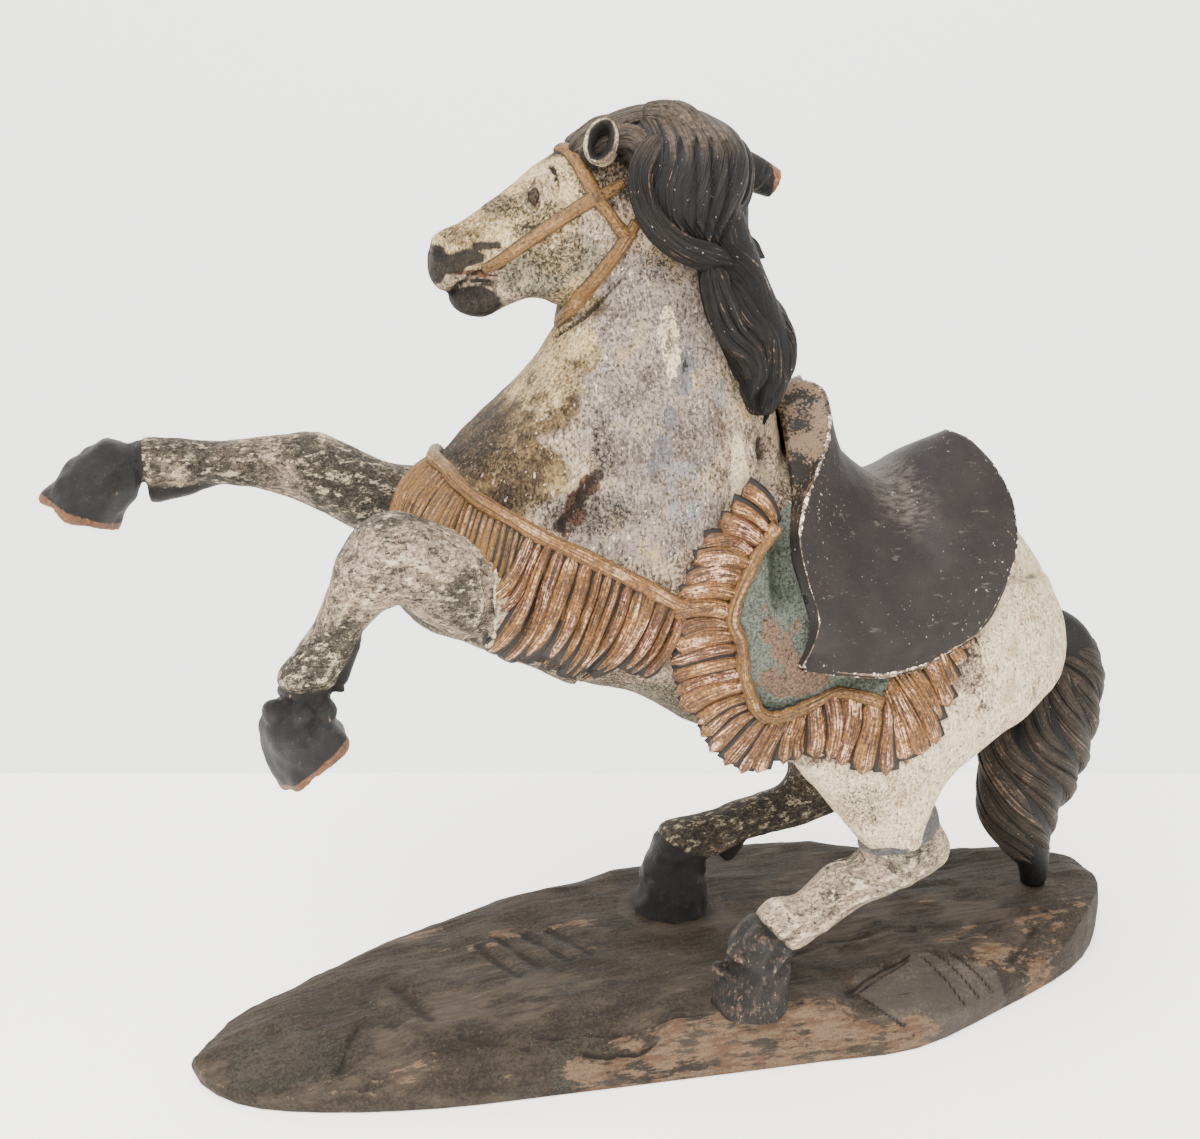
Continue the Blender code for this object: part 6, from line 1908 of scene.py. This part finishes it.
def earth_paint(paints):
    """Dark brown paint on rough wood, worn to tan and grey along cuts and edges, with painted shade in its
    hollows.
    """
    sheet = Sheet("earth_paint")
    fine = sheet.mottle(0.0015, 5.0, 0.75)
    grain = sheet.mottle(0.0022, 4.0, 0.7, (0.16, 1, 0.7), 4.0)
    cloud = sheet.mottle(0.014, 5.0, 0.7, (0.45, 1, 1), 9.0)
    wide = sheet.mottle(0.05, 3.0, 0.6, (0.6, 1, 1), 15.0)
    hollow = sheet.value("hollow")
    sheet.colour = sheet.between(fine + cloud.about(0.8), 0.35, 0.65, paints.earth_dark, paints.earth)
    sheet.lay((wide + cloud.about(0.6)).step(0.5, 0.62) * 0.6,
              sheet.between(grain, 0.4, 0.6, paints.earth, paints.earth_light))
    sheet.lay((sheet.value("grey") + cloud.about(1.3) + fine.about(0.5)).step(0.30, 0.62) * 0.6,
              sheet.between(fine + cloud.about(1.2), 0.45, 0.8, paints.slate_warm, paints.slate_pale))
    sheet.lay((sheet.value("green") + cloud.about(0.9)).step(0.35, 0.6) * 0.6,
              sheet.between(fine, 0.4, 0.6, paints.earth_dark, paints.lichen))
    rubbed = sheet.value("tan") * 0.62 + sheet.value("edge") * 0.10 - hollow * 0.30
    broken = sheet.mottle(0.0055, 5.0, 0.75, (0.35, 1, 1), 37.0)
    bare = rubbed * 0.8 + cloud.about(1.4) + grain.about(1.0) + broken.about(2.2)
    sheet.lay(bare.step(0.46, 0.64) * 0.8,
              sheet.between(grain + fine.about(0.5), 0.42, 0.60, paints.timber_dark, paints.tan))
    sheet.lay((sheet.value("ring") + fine.about(1.2) + cloud.about(1.2)).step(0.45, 1.0) * 0.4,
              paints.slate_warm)
    # Painted shade: umber laid in the hollows of the cuts.
    sheet.lay((hollow + fine.about(0.4)).step(0.2, 0.8) * 0.85, paints.umber)
    sheet.lay((grain + fine.about(0.3)).step(0.60, 0.68) * 0.6, paints.umber)
    sheet.lay(sheet.mottle(0.0018, 4.0, 0.72, EVEN, 29.0).step(0.64, 0.69) * 0.55, paints.tan)
    return sheet.finish(0.66 + fine * 0.2, fine * 0.5 + grain * 0.6 + cloud * 0.5, 0.0016)


def plain_paint(name, shade, roughness, glow):
    """An even surface for the studio, which gives back soft light as a lit white one does."""
    material = bpy.data.materials.new(name)
    material.use_nodes = True
    shader = material.node_tree.nodes["Principled BSDF"]
    shader.inputs["Base Color"].default_value = (*shade, 1.0)
    shader.inputs["Roughness"].default_value = roughness
    shader.inputs["Specular IOR Level"].default_value = 0.2
    shader.inputs["Emission Color"].default_value = (*shade, 1.0)
    shader.inputs["Emission Strength"].default_value = glow
    return material


class StudioSettings(bpy.types.PropertyGroup):
    """The table, the wall, the lights and the camera."""
    table: colour("Table", (0.93, 0.91, 0.86), "Colour of the table")
    table_glow: quantity("Table glow", 1.2, "Light that the table throws back", min=0.0)
    table_reach: length("Table reach", 0.257, "How far the table goes on behind the carving")
    table_size: length("Table size", 5.0, "Length and width of the table")
    wall: colour("Wall", (0.86, 0.86, 0.835), "Colour of the wall")
    wall_glow: quantity("Wall glow", 2.0, "Light that the wall throws back", min=0.0)
    wall_distance: length("Wall distance", 2.2, "How far the wall stands behind the carving")
    camera_turn: quantity("Camera turn", math.radians(-16), "Turn of the view round the carving",
                          unit="ROTATION", subtype="ANGLE")
    camera_rise: quantity("Camera rise", math.radians(18), "How far the view looks down",
                          unit="ROTATION", subtype="ANGLE")
    camera_place: bpy.props.FloatVectorProperty(name="Camera place", description="Where the camera stands",
                                                default=(-0.2211, -0.6284, 0.4300), size=3, unit="LENGTH",
                                                subtype="TRANSLATION")
    lens: quantity("Lens", 49.5, "Focal length in millimetres on a 36 mm sensor", min=10.0, max=200.0)
    key_power: quantity("Key power", 84.0, "Power of the large soft light", min=0.0, unit="POWER")
    fill_power: quantity("Fill power", 12.0, "Power of the fill light", min=0.0, unit="POWER")
    world_light: quantity("World light", 1.05, "Strength of the even light", min=0.0)


class BuildStudio(bpy.types.Operator):
    """Set up the table, the wall, the soft lights and the camera"""
    bl_idname = "horse.studio"
    bl_label = "Build Studio"

    def execute(self, context):
        studio = context.scene.horse_studio
        across = Vector((math.cos(studio.camera_turn), math.sin(studio.camera_turn), 0))
        behind = Vector((-math.sin(studio.camera_turn), math.cos(studio.camera_turn), 0))
        middle = behind * (studio.table_reach - studio.table_size / 2)
        bpy.ops.mesh.primitive_plane_add(size=studio.table_size, location=(middle.x, middle.y, -0.0005),
                                         rotation=(0, 0, studio.camera_turn))
        floor = context.object
        floor.name = "table_top"
        floor.data.materials.append(plain_paint("table_paint", studio.table, 0.7, studio.table_glow))
        middle = behind * studio.wall_distance
        bpy.ops.mesh.primitive_plane_add(size=studio.table_size * 1.4, location=(middle.x, middle.y, 0.0),
                                         rotation=(math.pi / 2, 0, studio.camera_turn))
        wall = context.object
        wall.name = "back_wall"
        wall.data.materials.append(plain_paint("wall_paint", studio.wall, 0.9, studio.wall_glow))
        for name, power, size, place in (
                ("key_light", studio.key_power, 1.6, across * -0.5 - behind * 0.9 + Vector((0, 0, 1.5))),
                ("fill_light", studio.fill_power, 1.2, across * 1.3 - behind * 0.8 + Vector((0, 0, 0.9)))):
            bpy.ops.object.light_add(type="AREA", location=place)
            lamp = context.object
            lamp.name = name
            lamp.data.energy = power
            lamp.data.size = size
            lamp.rotation_euler = (Vector((0, 0, 0.15)) - place).to_track_quat("-Z", "Y").to_euler()
        world = bpy.data.worlds.new("studio_world")
        world.use_nodes = True
        world.node_tree.nodes["Background"].inputs["Color"].default_value = (1.0, 1.0, 1.0, 1.0)
        world.node_tree.nodes["Background"].inputs["Strength"].default_value = studio.world_light
        context.scene.world = world
        turn, rise = studio.camera_turn, studio.camera_rise
        away = Vector((math.sin(turn) * math.cos(rise), -math.cos(turn) * math.cos(rise), math.sin(rise)))
        bpy.ops.object.camera_add(location=tuple(studio.camera_place))
        camera = context.object
        camera.name = "photo_camera"
        camera.rotation_euler = away.to_track_quat("Z", "Y").to_euler()
        camera.data.lens = studio.lens
        camera.data.sensor_width = 36.0
        camera.data.clip_start = 0.01
        context.scene.camera = camera
        return {"FINISHED"}


class HorsePanel(bpy.types.Panel):
    """Sizes, paints and steps of the carving"""
    bl_idname = "VIEW3D_PT_horse_carving"
    bl_label = "Rearing Horse Carving"
    bl_space_type = "VIEW_3D"
    bl_region_type = "UI"
    bl_category = "Horse"

    def draw(self, context):
        layout = self.layout
        for group in (context.scene.horse_sizes, context.scene.horse_paints, context.scene.horse_studio):
            box = layout.box()
            for key in group.bl_rna.properties.keys():
                if key not in ("rna_type", "name"):
                    box.prop(group, key)
        for operator in STEPS_IN_ORDER:
            layout.operator(operator.bl_idname)


STEPS_IN_ORDER = (BuildPlinth, BuildLimbs, BuildCoat, BuildTack, BuildHair, BuildStudio)
CLASSES = (HorseSizes, HorsePaints, StudioSettings, *STEPS_IN_ORDER, HorsePanel)


def register():
    for item in CLASSES:
        bpy.utils.register_class(item)
    bpy.types.Scene.horse_sizes = bpy.props.PointerProperty(type=HorseSizes)
    bpy.types.Scene.horse_paints = bpy.props.PointerProperty(type=HorsePaints)
    bpy.types.Scene.horse_studio = bpy.props.PointerProperty(type=StudioSettings)


def unregister():
    del bpy.types.Scene.horse_studio
    del bpy.types.Scene.horse_paints
    del bpy.types.Scene.horse_sizes
    for item in reversed(CLASSES):
        bpy.utils.unregister_class(item)


def main():
    register()
    bpy.ops.horse.plinth()
    bpy.ops.horse.limbs()
    bpy.ops.horse.coat()
    bpy.ops.horse.tack()
    bpy.ops.horse.hair()
    bpy.ops.horse.studio()


if __name__ == "__main__":
    main()
